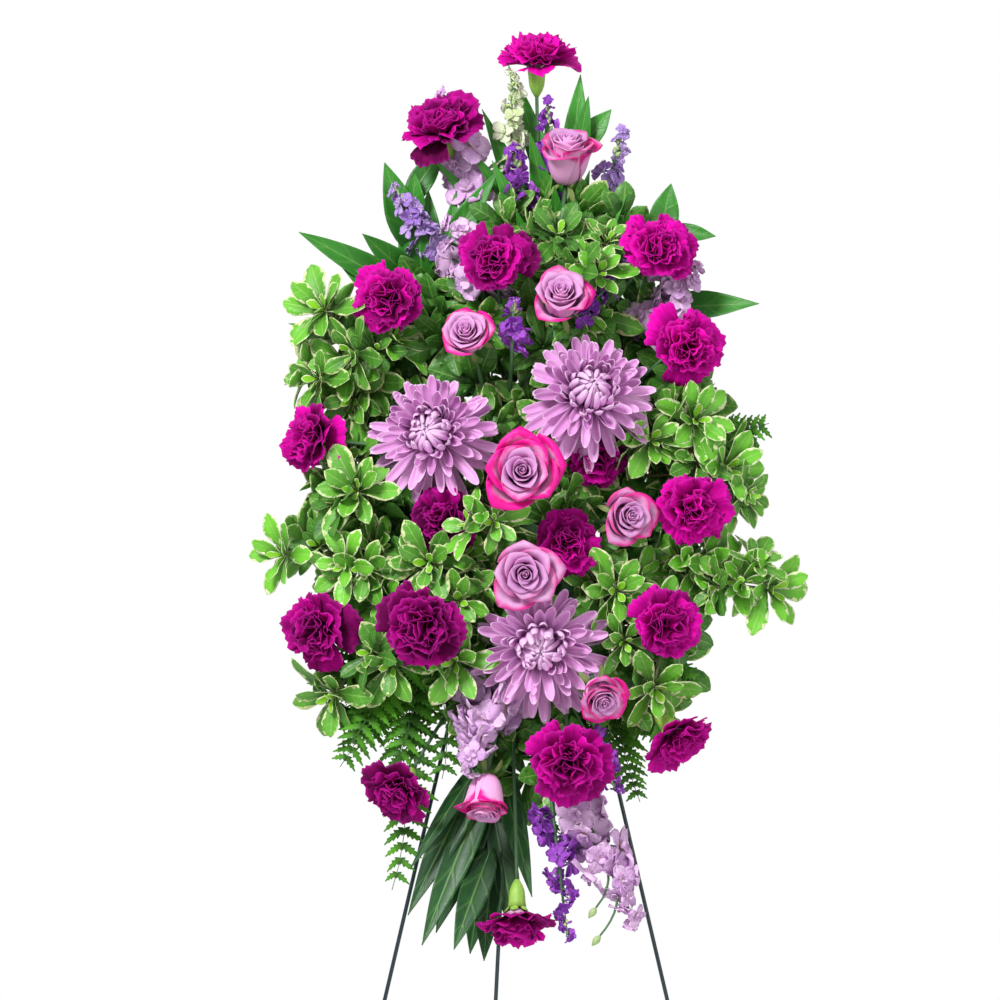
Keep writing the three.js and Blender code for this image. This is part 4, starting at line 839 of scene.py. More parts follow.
def is_clear(start, end, room=3.0):
    """Whether a leaf from start to end passes the flowers and the foam, with room round its tip."""
    way = Vector((end - start) * MM)
    if FLOWERS_AND_FOAM.ray_cast(Vector(start * MM), way.normalized(), way.length)[0]:
        return False
    return FLOWERS_AND_FOAM.find_nearest(Vector(end * MM), room * MM)[0] is None


def around(axis, angle):
    """The direction square to an axis, at an angle round it."""
    x, y = square_to(axis)
    return math.cos(angle) * x + math.sin(angle) * y


def blunt_outline(t):
    """The width of a leaf that is widest near its blunt end."""
    return np.sin(math.pi * t**1.75) ** 0.75 + 0.1 * (1 - t)


def whorl(piece, draw, end, axis, length, turn, solid=False, tiers=3, tone=None):
    """A whorl of leaves on the end of a twig. The first tier of one that stands for a solid keeps its
    form; in any other, a leaf that would run into a flower is left off. tone is how light its leaves are."""
    tone = draw.uniform(0.0, 1.0) if tone is None else tone
    columns = 5 if tiers == len(TIERS) else 3
    for tier, (count, size, rise, young) in enumerate(TIERS[:tiers]):
        for k in range(count):
            angle = 2 * math.pi * k / count + turn + 0.5 * tier + (0 if solid else draw.normal(0, 0.2))
            long = length * size * draw.uniform(0.88, 1.1)
            climb = rise + draw.normal(0, 0.1)
            if solid and tier == 0:
                long, climb = (long, 0.16) if k % 2 == 0 else (0.84 * long, 0.5)
            out = around(axis, angle)
            way = unit(out + climb * axis)
            base = end + 1.5 * out - (1 - 2 * tier) * axis
            if not (solid and tier == 0) and not is_clear(base, base + long * way):
                continue
            face = axis - climb * out + 0.25 * draw.normal(0, 1, 3)
            half = (0.22 + 0.03 * draw.uniform(-1, 1)) * long
            arch = 0.04 + 0.05 * draw.uniform(-1, 1)
            grid = leaf(base, way, face, long, half, blunt_outline, 7, columns, cup=0.25, arch=arch,
                        wave=0.16, phase=draw.uniform(0, 6))
            own = np.clip(tone + draw.normal(0, 0.1), 0, 1)
            piece.sheet(grid, PITTOSPORUM_THICK, young + own * (0.1 if young else 1))


def solid_whorl(node, end, axis, length):
    """How large the solid's whorl is and how it is turned, or None if the solid has none."""

    def found(size, turn):
        long = length * size
        angles = [turn + k * math.pi / 3 for k in (0, 2, 4)]
        tips = [end + long * (around(axis, angle) + 0.16 * axis) for angle in angles]
        return sum(has_corner(node, tip) for tip in tips)

    tries = [(size, turn) for size in (1, 0.85, 0.7, 0.55) for turn in (0, 0.35, 0.7)]
    best = max(tries, key=lambda each: found(*each))
    return best if found(*best) else None


def thicket_spots(draw):
    """Scattered spots all over the spray, each with the node whose whorls are nearest."""
    spots = {name: [] for name, *_ in PITTOSPORUM}
    places = [(name, row[0], row[1]) for name, main, sides in PITTOSPORUM for row in (main, *sides)]
    found = OPENINGS.copy()
    levels, left, right = np.array(THICKET)[::-1].T
    for z in np.arange(levels[0], levels[-1], SPOT_GAP):
        for x in np.arange(np.interp(z, levels, left), np.interp(z, levels, right) + 1, SPOT_GAP):
            found.append(draw.normal((x, z), 0.25 * SPOT_GAP))
    for x, z in found:
        nearest = min(places, key=lambda place: math.hypot(place[1] - x, place[2] - z))
        spots[nearest[0]].append((x, z, draw.uniform(*SPOT_OUT)))
    return spots


def deep_twig(piece, draw, line, x, z, out):
    """A side twig of leaves deep in the spray, dark as painted shade, from wherever it has the shortest
    clear way: from the main twig, or straight from the foam."""
    neck = in_front(x, z, out)
    if not is_clear(neck, neck + 1, 10):  # the place is inside a flower
        neck = in_front(x, z, out + 45)
    axis = unit(np.array([0.004 * x, -1, 0.1]) + 0.35 * draw.normal(0, 1, 3))
    ways = [(along_line(line, share)[0],) * 2 for share in DEEP_SHARES]
    ways += [(port, port - 8 * out_way) for port, out_way in PORTS[::2]]
    ways.sort(key=lambda way: np.linalg.norm(neck - way[0]))
    for start, root in ways[:WAYS_TRIED]:
        middle = (start + neck - 0.3 * np.linalg.norm(neck - start) * axis) / 2
        if is_clear(start + 4 * unit(middle - start), middle, 2) and is_clear(middle, neck, 4):
            piece.tube(softened([root, start, middle, neck]), [1.3, 1.0], finish=STEM)
            # Painted shade: the leaves deep in the spray get a dark tone, and so lose their cream margins.
            tone = draw.uniform(0, 0.35)
            whorl(piece, draw, neck, axis, draw.uniform(34, 42), draw.uniform(0, 1), tiers=2, tone=tone)
            return


def leafy_twig(piece, draw, node, line, handles, length, first):
    """A twig's whorl and the smaller ones on short side twigs below it, from the share first on."""
    axis = unit(handles[3] - handles[2])
    best = solid_whorl(node, handles[3], axis, length)
    size, turn = best or (0.7, 0)
    whorl(piece, draw, handles[3], axis, length * size, turn, solid=best is not None)
    for k, share in enumerate(np.arange(first, 0.95, 0.27)):
        start, way = along_line(line, share)
        angle = k * GOLDEN + draw.uniform(0, 1)
        aside = unit(0.7 * way + around(way, angle))
        end = start + draw.uniform(16, 30) * aside
        if is_clear(start, end, 6):
            piece.tube([start, end], [1.0, 0.8], finish=STEM)
            whorl(piece, draw, end, aside, length * draw.uniform(0.75, 0.95), angle)


spots = thicket_spots(np.random.default_rng(290))
for seed, (name, main, sides) in enumerate(PITTOSPORUM, start=200):
    draw = np.random.default_rng(seed)
    piece = Piece(name + "_spray", pittosporum_leaf, woody_stem)
    line, handles = main_stem(piece, name, in_front(*main[:3]), facing(*main[3:5]), 2.2, 1.4)
    leafy_twig(piece, draw, name, line, handles, main[5], first=0.5)
    for x, z, out, turn, lift, length, share in sides:
        end, axis = in_front(x, z, out), facing(turn, lift)
        twig = side_stem(name, *along_line(line, share), end, axis, 0.5, 1.35)
        twig_line = bezier(twig, HALFWAY)
        piece.tube(softened(twig_line), [1.5, 1.2], STEM_SIDES, finish=STEM)
        leafy_twig(piece, draw, name, twig_line, twig, length, first=0.45)
    for place in spots[name]:
        deep_twig(piece, draw, line, *place)
    piece.finish("stand", "pittosporum_leaf", name)


# Leatherleaf fern. A frond is a stiff rachis with leaflets in pairs, longest near its foot, and each
# leaflet is cut deeply into teeth that point to its tip. A node holds the fronds that cross at their feet.
fern_leaf, *_ = leafy_material(
    "fern leaflet", 0.5, (34, 96, 14), (88, 166, 28), (130, 180, 70), (92, 146, 50), 3.0,
    Specular_IOR_Level=0.3,
)
# A frond is [x, height, distance in front of its tip, turn and lift of its face, share of the rachis that
# is bare, longest leaflet].
FERNS = [
    ["fern_01", [-196, 884, 64, -10, 10, 0.42, 48], [-134, 719, 54, -25, 20, 0.5, 44],
        [-176, 864, 90, -10, 15, 0.4, 52], [-130, 846, 84, -5, 15, 0.35, 50],
        [-212, 916, 70, -20, 5, 0.4, 46], [-84, 830, 70, 0, 20, 0.3, 44],
        [-40, 790, 60, 0, 20, 0.3, 42], [-152, 886, 64, -5, 15, 0.35, 50],
        [-106, 862, 62, 0, 15, 0.3, 48], [-186, 842, 56, -15, 10, 0.5, 44]],
    ["fern_02", [233, 1172, 50, 20, 10, 0.5, 44], [226, 1110, 34, 25, 5, 0.5, 42],
        [190, 1226, 30, 10, 15, 0.5, 40], [244, 1186, 56, 20, 25, 0.5, 40]],
    ["fern_03", [167, 920, 64, 20, 0, 0.5, 40], [114, 807, 64, 25, 10, 0.5, 38],
        [150, 862, 60, 20, 5, 0.4, 44], [60, 800, 60, 5, 15, 0.3, 42], [20, 772, 70, 0, 15, 0.3, 40]],
]
FROND_PAIRS = 11
FROND_END = 0.97  # the share of the rachis where its leaflets end
SOLID_PAIRS = 6
SOLID_RADIUS = 0.967  # of the solid's first rachis, halfway up to its leaflets
RACHIS_STEPS = np.linspace(0, 1, 14)
LEAFLET_THICK = 0.4
TOOTH_LENGTH = 5
FOAM_MIDDLE = (FOAM_TOP + FOAM_BOTTOM) / 2


def frond(piece, draw, handles, turn, lift, bare, longest):
    """Puts the leaflets on a rachis, on both of its sides."""
    face = facing(turn, lift)
    for k in range(FROND_PAIRS):
        far = (k + 0.5) / FROND_PAIRS
        share = bare + (FROND_END - bare) * far
        at, ahead = bezier(handles, [share, share + 0.005])
        way = unit(ahead - at)
        side = unit(np.cross(way, face))
        up = np.cross(side, way)
        for hand in (-1, 1):
            out = unit(hand * side + 0.6 * way + 0.12 * draw.normal(0, 1) * up)
            length = longest * (1 - 0.66 * far**1.3) * draw.uniform(0.92, 1.05)
            if not is_clear(at + 4 * out, at + length * out, 1):
                continue
            cut_leaflet(piece, draw, at, out, up, length)


def cut_leaflet(piece, draw, at, out, up, length):
    """One leaflet of a frond. Its rows run from a tooth's point to the cut behind the next one."""
    teeth = max(4, round(length / TOOTH_LENGTH))
    points = np.arange(1, teeth + 1) / teeth
    t = np.concatenate([[0], np.stack([points - 0.1 / teeth, points], -1).ravel()])[:, None]
    depth = np.where(np.arange(2 * teeth + 1) % 2, 1, 0.45)[:, None]
    half = 0.15 * length + 2.4
    wide = half * depth * (1 - t) ** 0.6 * (0.75 + 0.4 * np.sin(math.pi * t)) + 0.3
    u = np.array([[-1, 0, 1]])
    side = unit(np.cross(up, out))
    rise = 0.25 * wide * u**2 - draw.uniform(3, 8) * t**2
    grid = at + (length * t + 0 * u)[..., None] * out + (wide * u)[..., None] * side + rise[..., None] * up
    piece.sheet(grid, LEAFLET_THICK, draw.uniform(0, 1))


for seed, (name, *fronds) in enumerate(FERNS, start=300):
    draw = np.random.default_rng(seed)
    piece = Piece(name + "_fronds", fern_leaf, green_stem)
    first = None
    for x, z, out, turn, lift, bare, longest in fronds:
        tip = in_front(x, z, out)
        axis = unit(tip - on_slope(0, FOAM_MIDDLE, 0))
        up_to = bare + 0.5 * (FROND_END - bare) / SOLID_PAIRS  # where the solid's leaflets start
        if first is None:
            root, handles = lead_stem(name, tip, axis, 1.5, SOLID_RADIUS, 0.5 * up_to)
            rachis = [root, *bezier(handles, RACHIS_STEPS)]
            piece.tube(rachis, [1.5, 1.2, 0.6, 0.4], STEM_SIDES, finish=STEM)
            first = bezier(handles, [0, 0.5 * up_to, up_to])
        else:
            handles = side_stem(name, *along_line(first, 0.1), tip, axis, 0.5 * up_to, 1.1)
            piece.tube(bezier(handles, RACHIS_STEPS), [1.3, 0.6, 0.4], STEM_SIDES, finish=STEM)
        frond(piece, draw, handles, turn, lift, bare, longest)
    piece.finish("stand", "fern_leaflet", name)


# Larkspur. A spike carries florets of five sepals with a spur behind and a pale centre, then buds at its
# tip. The top spikes are violet, pale violet and white-green, and two spikes hang below.
def petal_material(name, roughness, deep, bright, under, heart, heart_end, count, **sockets):
    """A petal: its two colours differ from petal to petal, fine streaks run along it, and its underside has
    a colour of its own. Its heart, towards its foot, is the throat's own colour in larkspur and stock, and
    painted shade where it is darker."""
    made, tree, shader = new_material(name, roughness, **sockets)
    along, across, tint, back = marks(tree)
    streaks = grouped(tree, STREAKS, along, across, tint, count)[0]
    patches, specks = grouped(tree, SPECKLE, 110.0)
    share = sum_of(tree, "MULTIPLY_ADD", patches, 0.5, sum_of(tree, "ADD", tint, -0.25))
    share = add_node(tree, "Clamp", {0: share}).outputs[0]
    colour = mixed(tree, share, srgb(*deep), srgb(*bright))
    colour = laid_over(tree, colour, streaks, 0.35, srgb(*deep))
    # Towards the foot, the heart colour: the throat's own colour in larkspur and stock, painted shade in
    # chrysanthemums, roses and carnations.
    colour = mixed(tree, faded(tree, along, 0.0, heart_end), colour, srgb(*heart))
    colour = laid_over(tree, colour, back, 0.8, srgb(*under))
    tree.links.new(colour, shader.inputs["Base Color"])
    height = sum_of(tree, "ADD", streaks, sum_of(tree, "MULTIPLY", specks, 0.5))
    roughened(tree, shader, height, 0.45, 0.0003)
    return made, tree, shader, colour


def floret_material(name, deep, bright, heart):
    """A larkspur's sepal, as bright on its underside as above."""
    return petal_material(name, 0.62, deep, bright, bright, heart, 0.3, 6.0, Specular_IOR_Level=0.25)[0]


LARKSPUR_COLOURS = {
    "violet": floret_material("violet larkspur", (104, 28, 150), (178, 92, 212), (226, 214, 240)),
    "pale": floret_material("pale larkspur", (150, 104, 196), (206, 178, 234), (236, 236, 220)),
    "white": floret_material("white larkspur", (196, 214, 150), (236, 240, 222), (190, 214, 110)),
}
bud_skin = stem_material("green bud", (128, 168, 92), (206, 222, 162))

# A spike is [x, height, distance in front, turn, lift, share of the stem that is bare, florets in the
# solid, floret radius]. Each row is its node, its colour and its spikes.
LARKSPUR = [
    ["larkspur_01", "white", [-14, 1537, 58, 0, 78, 0.56, 6, 17]],
    ["larkspur_02", "violet", [22, 1507, 66, 12, 70, 0.56, 5, 17], [-12, 1462, 84, -4, 70, 0.5, 4, 17]],
    ["larkspur_03", "pale", [96, 1479, 68, 22, 62, 0.6, 5, 16]],
    ["larkspur_04", "pale", [-131, 1422, 86, -35, 48, 0.6, 5, 17]],
    ["larkspur_05", "violet", [-12, 1307, 174, 0, 60, 0.5, 4, 15], [101, 1346, 132, 20, 58, 0.5, 5, 12]],
    ["larkspur_06", "violet", [41, 674, 85, 8, -80, 0.58, 6, 17], [89, 822, 108, 20, -70, 0.55, 4, 17]],
]
# The sizes and turns that a floret of the solid may have.
FLORET_TRIES = [(size, turn) for size in (1, 0.84, 0.7) for turn in (0, 0.5, -0.5, 1)]
LARKSPUR_STEM = 2
LARKSPUR_DENSE = 4
FLORET_SEPALS = 5
FLORET_HEART = 3
PETAL_THICK = 0.4
SPIKE_TIP = 1.1  # the radius of a spike's stem at its tip
BUD_SHAPE = (0.25, 0.7, 0.95, 0.85, 0.5, 0.1)  # its radii from its foot to its tip, as shares of its size
TIP_BUDS = 9
TIP_BUD = 2.6
HANGING_BUD = 4.4


def bent(forward, side, lift, length, climb, bend):
    """A petal's grid as [out, aside, up]: it leaves its bloom at the angle climb, and has turned by the
    angle bend at its tip. lift is how far its points stand out of that curve."""
    bend = bend or 1e-6
    angle = climb + bend * forward / length
    out = (np.sin(angle) - math.sin(climb)) * length / bend - np.sin(angle) * lift
    up = (math.cos(climb) - np.cos(angle)) * length / bend + np.cos(angle) * lift
    return np.stack([out, np.broadcast_to(side, out.shape), up], -1)


def set_round(grid, angle, centre, axis):
    """Puts a petal at an angle round its bloom's axis."""
    out = around(axis, angle)
    return centre + grid @ np.array([out, np.cross(axis, out), axis])


def evenly(count, start=0.0):
    """Angles spread evenly round a bloom."""
    return [start + k * 2 * math.pi / count for k in range(count)]


def oval_petal(length, half, climb, bend, cup=0.2, ruffle=0.0, phase=0.0, rows=6, columns=5):
    """An oval petal, narrow at its foot."""
    t, u = shares(rows, columns)
    wide = half * np.maximum(np.sin(math.pi * t**1.3) ** 0.7, 0.12)
    lift = cup * wide * u**2 + ruffle * half * t * np.sin(phase + 5 * u + 3 * t)
    return bent(length * t + 0 * u, wide * u, lift, length, math.radians(climb), math.radians(bend))


def spike_places(draw, node, line, bare, count, radius, dense):
    """Where the florets of a spike stand: those of its solid, and others between them. dense is how many
    there are for each of the solid's."""
    for k in range(dense * count):
        share = (k / dense + 0.5) / count
        root, way = along_line(line, min(bare + (1 - bare) * share, 1))
        wide = radius * (1 - 0.6 * share**2)

        def lies(size, turn):
            axis = unit((0.35 + 0.5 * share) * way + around(way, k / dense * GOLDEN + turn))
            return axis, wide * size

        found = [
            (axis, size)
            for axis, size in (lies(*each) for each in FLORET_TRIES)
            if k % dense == 0 and has_corner(node, root + 0.7 * size * axis)
        ]
        axis, size = found[0] if found else lies(draw.uniform(0.85, 1.35), draw.uniform(0, 6))
        if found or is_clear(root + 3 * axis, root + size * axis, 2):
            yield root, axis, size


def larkspur_floret(piece, draw, root, axis, way, wide):
    """A floret on its short stalk: its spur, its sepals and its pale heart."""
    centre = root + 0.6 * wide * axis
    piece.tube([root, centre], [0.6, 0.8], tint=0.4, finish=STEM)
    spur_way = unit(0.6 * way - 0.8 * axis)
    spur = [centre, centre + 0.4 * wide * spur_way, centre + 0.75 * wide * unit(spur_way + 0.5 * way)]
    piece.tube(softened(spur), [1.6, 1.0, 0.5], tint=draw.uniform(0, 1))
    facing_out = unit(axis + 0.35 * draw.normal(0, 1, 3))
    start = draw.uniform(0, 6)
    tone = draw.uniform(0, 0.9)
    for angle in evenly(FLORET_SEPALS, start):
        grid = oval_petal(wide * draw.uniform(0.65, 0.95), 0.36 * wide, draw.uniform(5, 40), -25, cup=0.3,
                          ruffle=0.25, phase=draw.uniform(0, 6), rows=5)
        tint = tone + draw.uniform(-0.1, 0.2)
        piece.sheet(set_round(grid, angle, centre, facing_out), PETAL_THICK, tint)
    for k in range(FLORET_HEART):
        grid = oval_petal(0.32 * wide, 0.13 * wide, 62, 10, cup=0.4, rows=4, columns=3)
        piece.sheet(set_round(grid, start + 0.6 + k * 2.1, centre, facing_out), PETAL_THICK, 1.5)


def bud(piece, root, axis, size, tint):
    """A plump green bud. Its size is about half its width and a third of its length."""
    spots = [root + axis * size * t for t in np.linspace(0, 3, len(BUD_SHAPE))]
    piece.tube(spots, [share * size for share in BUD_SHAPE], tint=tint, finish=GREEN)


def tip_buds(piece, draw, line):
    """The unopened buds at the end of a spike, smaller and closer towards its tip."""
    for k in range(TIP_BUDS):
        root, way = along_line(line, 0.9 + 0.1 * (k + 0.5) / TIP_BUDS)
        axis = unit(way + 0.8 * (1 - k / TIP_BUDS) * around(way, k * GOLDEN))
        bud(piece, root, axis, TIP_BUD * (1 - 0.5 * k / TIP_BUDS), draw.uniform(0, 1))


def grown_spike(piece, draw, node, line, spike, make, dense):
    """Puts florets and buds on a spike's line."""
    way = unit(line[-1] - line[-2])
    for root, axis, wide in spike_places(draw, node, line, *spike[5:], dense):
        make(piece, draw, root, axis, way, wide)
    tip_buds(piece, draw, line)


def hanging_buds(piece, draw, line, spots):
    """Buds on thin bent stalks that spring from a spike's stem. Each spot is [share of the stem, x, height,
    distance in front]."""
    for share, *spot in spots:
        start, way = along_line(line, share)
        end = in_front(*spot)
        reach = np.linalg.norm(end - start)
        handles = (start, start + 0.35 * reach * way, end + (0.3 * reach, 0, 0.35 * reach), end)
        stalk = bezier(handles, np.linspace(0, 1, 10))
        piece.tube(stalk, [1.6, 1.0], finish=STEM)
        bud(piece, end, unit(end - stalk[-2]), HANGING_BUD, draw.uniform(0, 1))


def spike_node(node, slot, petals, spikes, thick, make, dense, seed, buds=()):
    """A node of one spike, or of two where the second springs from the first one's stem. make adds one
    floret, and dense is how many there are for each of the solid's."""
    draw = np.random.default_rng(seed)
    piece = Piece(node + "_spike", petals, green_stem, bud_skin)
    line = None
    for spike in spikes:
        tip, axis = in_front(*spike[:3]), facing(*spike[3:5])
        if line is None:
            line, _ = main_stem(piece, node, tip, axis, thick, SPIKE_TIP)
        else:
            handles = side_stem(node, *along_line(line, 0.15), tip, axis, 0.5, (0.8 * thick + 1) / 2)
            line = bezier(handles, HALFWAY)
            piece.tube(softened(line), [0.8 * thick, 1], STEM_SIDES, finish=STEM)
        grown_spike(piece, draw, node, line, spike, make, dense)
    hanging_buds(piece, draw, line, buds)
    piece.finish("stand", slot, node)


for seed, (node, colour, *spikes) in enumerate(LARKSPUR, start=400):
    petals = LARKSPUR_COLOURS[colour]
    spike_node(node, "larkspur_floret", petals, spikes, LARKSPUR_STEM, larkspur_floret, LARKSPUR_DENSE, seed)


# Stock. Its spikes are stouter and softer than larkspur: pale lilac double florets of broad ruffled
# petals, green-yellow in the throat, with green buds at the tip.
stock_petal, *_ = petal_material(
    "stock petal", 0.66, (206, 158, 214), (240, 206, 240), (234, 196, 236), (214, 220, 150), 0.35, 5.0,
    Specular_IOR_Level=0.25,
)
# Each row is its node and its spikes, with the same values as for larkspur. The buds hang from the last one.
STOCK = [
    ["stock_01", [-76, 1512, 58, -25, 62, 0.62, 6, 21]],
    ["stock_02", [-72, 1384, 124, -10, 62, 0.4, 6, 21]],
    ["stock_03", [164, 1337, 100, 45, 38, 0.5, 6, 21]],
    ["stock_04", [-55, 845, 130, -15, -62, 0.42, 7, 22], [106, 693, 80, 12, -76, 0.55, 7, 21]],
]
STOCK_STEM = 2.4
STOCK_DENSE = 3
STOCK_BUDS = {"stock_04": [[0.85, 74, 674, 82], [0.7, 70, 702, 86]]}
# A floret's two rings of petals, as [petals, size, the angle at which they leave it, how far they bend].
STOCK_RINGS = [[4, 1.1, 16, -30], [3, 0.55, 58, -20]]


def stock_floret(piece, draw, root, axis, _, wide):
    """A double floret on its stalk: broad petals round a ring of smaller ones."""
    centre = root + draw.uniform(0.4, 1.25) * wide * axis
    piece.tube([root, root + 0.25 * wide * axis, centre], [0.9, 1.8, 1.6], tint=0.6, finish=STEM)
    facing_out = unit(axis + 0.3 * draw.normal(0, 1, 3))
    start = draw.uniform(0, 6)
    for count, size, climb, bend in STOCK_RINGS:
        for angle in evenly(count, start + size):
            grid = oval_petal(
                wide * size * draw.uniform(0.85, 1.08), 0.5 * wide * size, climb + draw.uniform(-8, 10),
                bend, cup=0.15, ruffle=0.3, phase=draw.uniform(0, 6),
            )
            piece.sheet(set_round(grid, angle, centre, facing_out), PETAL_THICK, draw.uniform(0, 1))


for seed, (node, *spikes) in enumerate(STOCK, start=420):
    buds = STOCK_BUDS.get(node, ())
    spike_node(node, "stock_floret", stock_petal, spikes, STOCK_STEM, stock_floret, STOCK_DENSE, seed, buds)


# Disbud chrysanthemums. Each head is one large bloom of strap petals in a spiral: the outer ones long,
# channelled and drooping, the inner ones short and curled in over the heart.
# Its dark heart colour (158, 84, 150) is painted shade at the petals' feet, deep in the bloom.
mum_petal, tree, shader, colour = petal_material(
    "chrysanthemum petal", 0.6, (196, 128, 190), (242, 184, 236), (240, 202, 238), (158, 84, 150), 0.4, 4.0,
    Specular_IOR_Level=0.25,
)
along, across, *_ = marks(tree)
pale_tip = sum_of(tree, "MULTIPLY", stepped(tree, along, 0.8, 1.0), 0.75)
pale_edge = sum_of(tree, "MULTIPLY", stepped(tree, sum_of(tree, "ABSOLUTE", across), 0.6, 1.0), 0.2)
pale = sum_of(tree, "MAXIMUM", pale_tip, pale_edge)
tree.links.new(mixed(tree, pale, colour, srgb(240, 214, 240)), shader.inputs["Base Color"])
pale_green = stem_material("pale green calyx", (118, 176, 58), (178, 216, 96))

# A row is [node, x, height, distance in front, diameter, turn, lift, how light the bloom is]. The lowest
# bloom is made lighter: painted light, against the shade it stands in.
MUMS = [
    ["chrysanthemum_01", -96, 1177, 152, 126, -14, 5, 0.1],
    ["chrysanthemum_02", 65, 1220, 165, 130, 8, 18, 0.15],
    ["chrysanthemum_03", 14, 961, 147, 134, 0, -13, 0.6],
]
MUM_PETALS = 190
MUM_THICK = 0.5
MUM_STEM = 2.6
# The calyx: where it ends, as a share of the radius, its length, and its radii from the stem up.
MUM_FOOT = -0.42
MUM_CALYX_LENGTH = 9
MUM_CALYX = (2.6, 3.2, 5, 8, 9, 6)
CALYX_SIDES = 12
BRACTS = 9
BRACT_THICK = 0.6
# How the petals change from the outermost to the innermost: the angles in degrees at which they leave the
# bloom and by which they bend, then their length, half their width, and how far out and up they start, as
# shares of the radius. From DOME_FROM on they close over the heart.
MUM_STEPS = (0, 0.22, 0.42, 0.56, 0.62, 0.84, 1)
MUM_CLIMB = (-10, 10, 30, 46, 60, 72, 84)
MUM_BEND = (-26, 0, 40, 78, 112, 100, 40)
MUM_LENGTH = (0.98, 0.88, 0.7, 0.58, 0.56, 0.44, 0.3)
MUM_HALF = (0.095, 0.09, 0.082, 0.066, 0.042, 0.034, 0.024)
MUM_OUT = (0.1, 0.12, 0.18, 0.26, 0.3, 0.2, 0.08)
MUM_UP = (-0.3, -0.24, -0.16, -0.12, -0.1, -0.1, -0.1)
DOME_FROM = 0.6


def strap_petal(length, half, climb, bend, cup, lip, rows, columns):
    """A long channelled petal with a round tip. lip is how far the tip turns up."""
    t, u = shares(rows, columns)
    t = 1 - (1 - t) ** 1.7
    wide = half * np.maximum(np.minimum(1, 0.6 + 0.9 * t) * (1 - t**11) ** 0.5, 0.3)
    lift = cup * wide * u**2 + lip * length * np.maximum(0, (t - 0.75) / 0.25) ** 2
    return bent(length * t + 0 * u, wide * u * (1 - 0.1 * cup * u**2), lift, length, climb, bend)


def bloom_stem(piece, node, centre, axis, foot, length, radii, thick):
    """A bloom's stem and the calyx or hip that it ends in."""
    main_stem(piece, node, centre + (foot - length) * axis, axis, thick, thick)
    spots = [centre + (foot - length * (1 - t)) * axis for t in np.linspace(-0.05, 1, len(radii))]
    piece.tube(spots, radii, CALYX_SIDES, finish=GREEN)


for seed, (node, x, z, out, diameter, turn, lift, light) in enumerate(MUMS, start=500):
    draw = np.random.default_rng(seed)
    piece = Piece(node + "_bloom", mum_petal, green_stem, pale_green)
    centre, axis, r = in_front(x, z, out), facing(turn, lift), diameter / 2
    bloom_stem(piece, node, centre, axis, MUM_FOOT * r, MUM_CALYX_LENGTH, MUM_CALYX, MUM_STEM)
    for i in range(MUM_PETALS):
        inner = i / (MUM_PETALS - 1)
        angle = i * GOLDEN + draw.normal(0, 0.1)
        raised = around(axis, angle)[2] * (1 - inner)
        climb, bend, length, half, out, up = (
            np.interp(inner, MUM_STEPS, steps)
            for steps in (MUM_CLIMB, MUM_BEND, MUM_LENGTH, MUM_HALF, MUM_OUT, MUM_UP)
        )
        loose = 1 if inner < DOME_FROM else 0.4
        climb = math.radians(climb + loose * draw.normal(0, 8))
        bend = math.radians(bend + loose * draw.normal(0, 16) + 14 * raised)
        length = r * length * (1 - 0.16 * raised) * (1 + loose * draw.uniform(-0.16, 0.06))
        half = r * half * draw.uniform(0.9, 1.1)
        lip = 0.12 * max(0, 1 - 1.8 * inner)
        rows, columns = (9, 5) if inner < DOME_FROM else (8, 3)
        grid = strap_petal(length, half, climb, bend, 0.95 - 0.3 * inner, lip, rows, columns)
        grid += (r * out, 0, r * up)
        # light raises the petals' tints; for the lowest bloom it is painted light.
        piece.sheet(set_round(grid, angle, centre, axis), MUM_THICK, light + draw.uniform(0, 1))
    for k in range(BRACTS):
        bract = oval_petal(0.3 * r, 0.07 * r, 4, 10, rows=4, columns=3) + (5, 0, -0.4 * r - 1)
        piece.sheet(set_round(bract, k * 0.7, centre, axis), BRACT_THICK, 0.5, GREEN)
    piece.finish("stand", "chrysanthemum_petal", node)


# Roses. A bicoloured rose: lavender petals wound round the heart and opening outwards, with rolled rims
# that turn hot pink, most of all on the outer petals and their backs. Below are a hip and five sepals.
# Its dark heart colour (158, 92, 150) is painted shade down in the cup, at the petals' feet.
rose_petal_skin, tree, shader, colour = petal_material(
    "rose petal", 0.5, (190, 128, 188), (230, 180, 222), (252, 180, 230), (158, 92, 150), 0.45, 3.0,
    Specular_IOR_Level=0.3,
)
along, across, tint, _ = marks(tree)
patches, _ = grouped(tree, SPECKLE, 90.0)
edge = sum_of(tree, "MULTIPLY_ADD", patches, 0.3, along)
edge = sum_of(tree, "MULTIPLY_ADD", sum_of(tree, "ABSOLUTE", across), 0.12, edge)
outermost = stepped(tree, tint, 0.55, 1.0)
edge = sum_of(tree, "MULTIPLY_ADD", outermost, 0.2, edge)
rim = sum_of(tree, "MULTIPLY", stepped(tree, edge, 1.06, 1.26), stepped(tree, tint, 0.45, 0.8))
pink = mixed(tree, patches, srgb(244, 24, 166), srgb(214, 0, 124))
tree.links.new(mixed(tree, rim, colour, pink), shader.inputs["Base Color"])
hip_green = stem_material("rose hip", (84, 120, 52), (140, 150, 84))

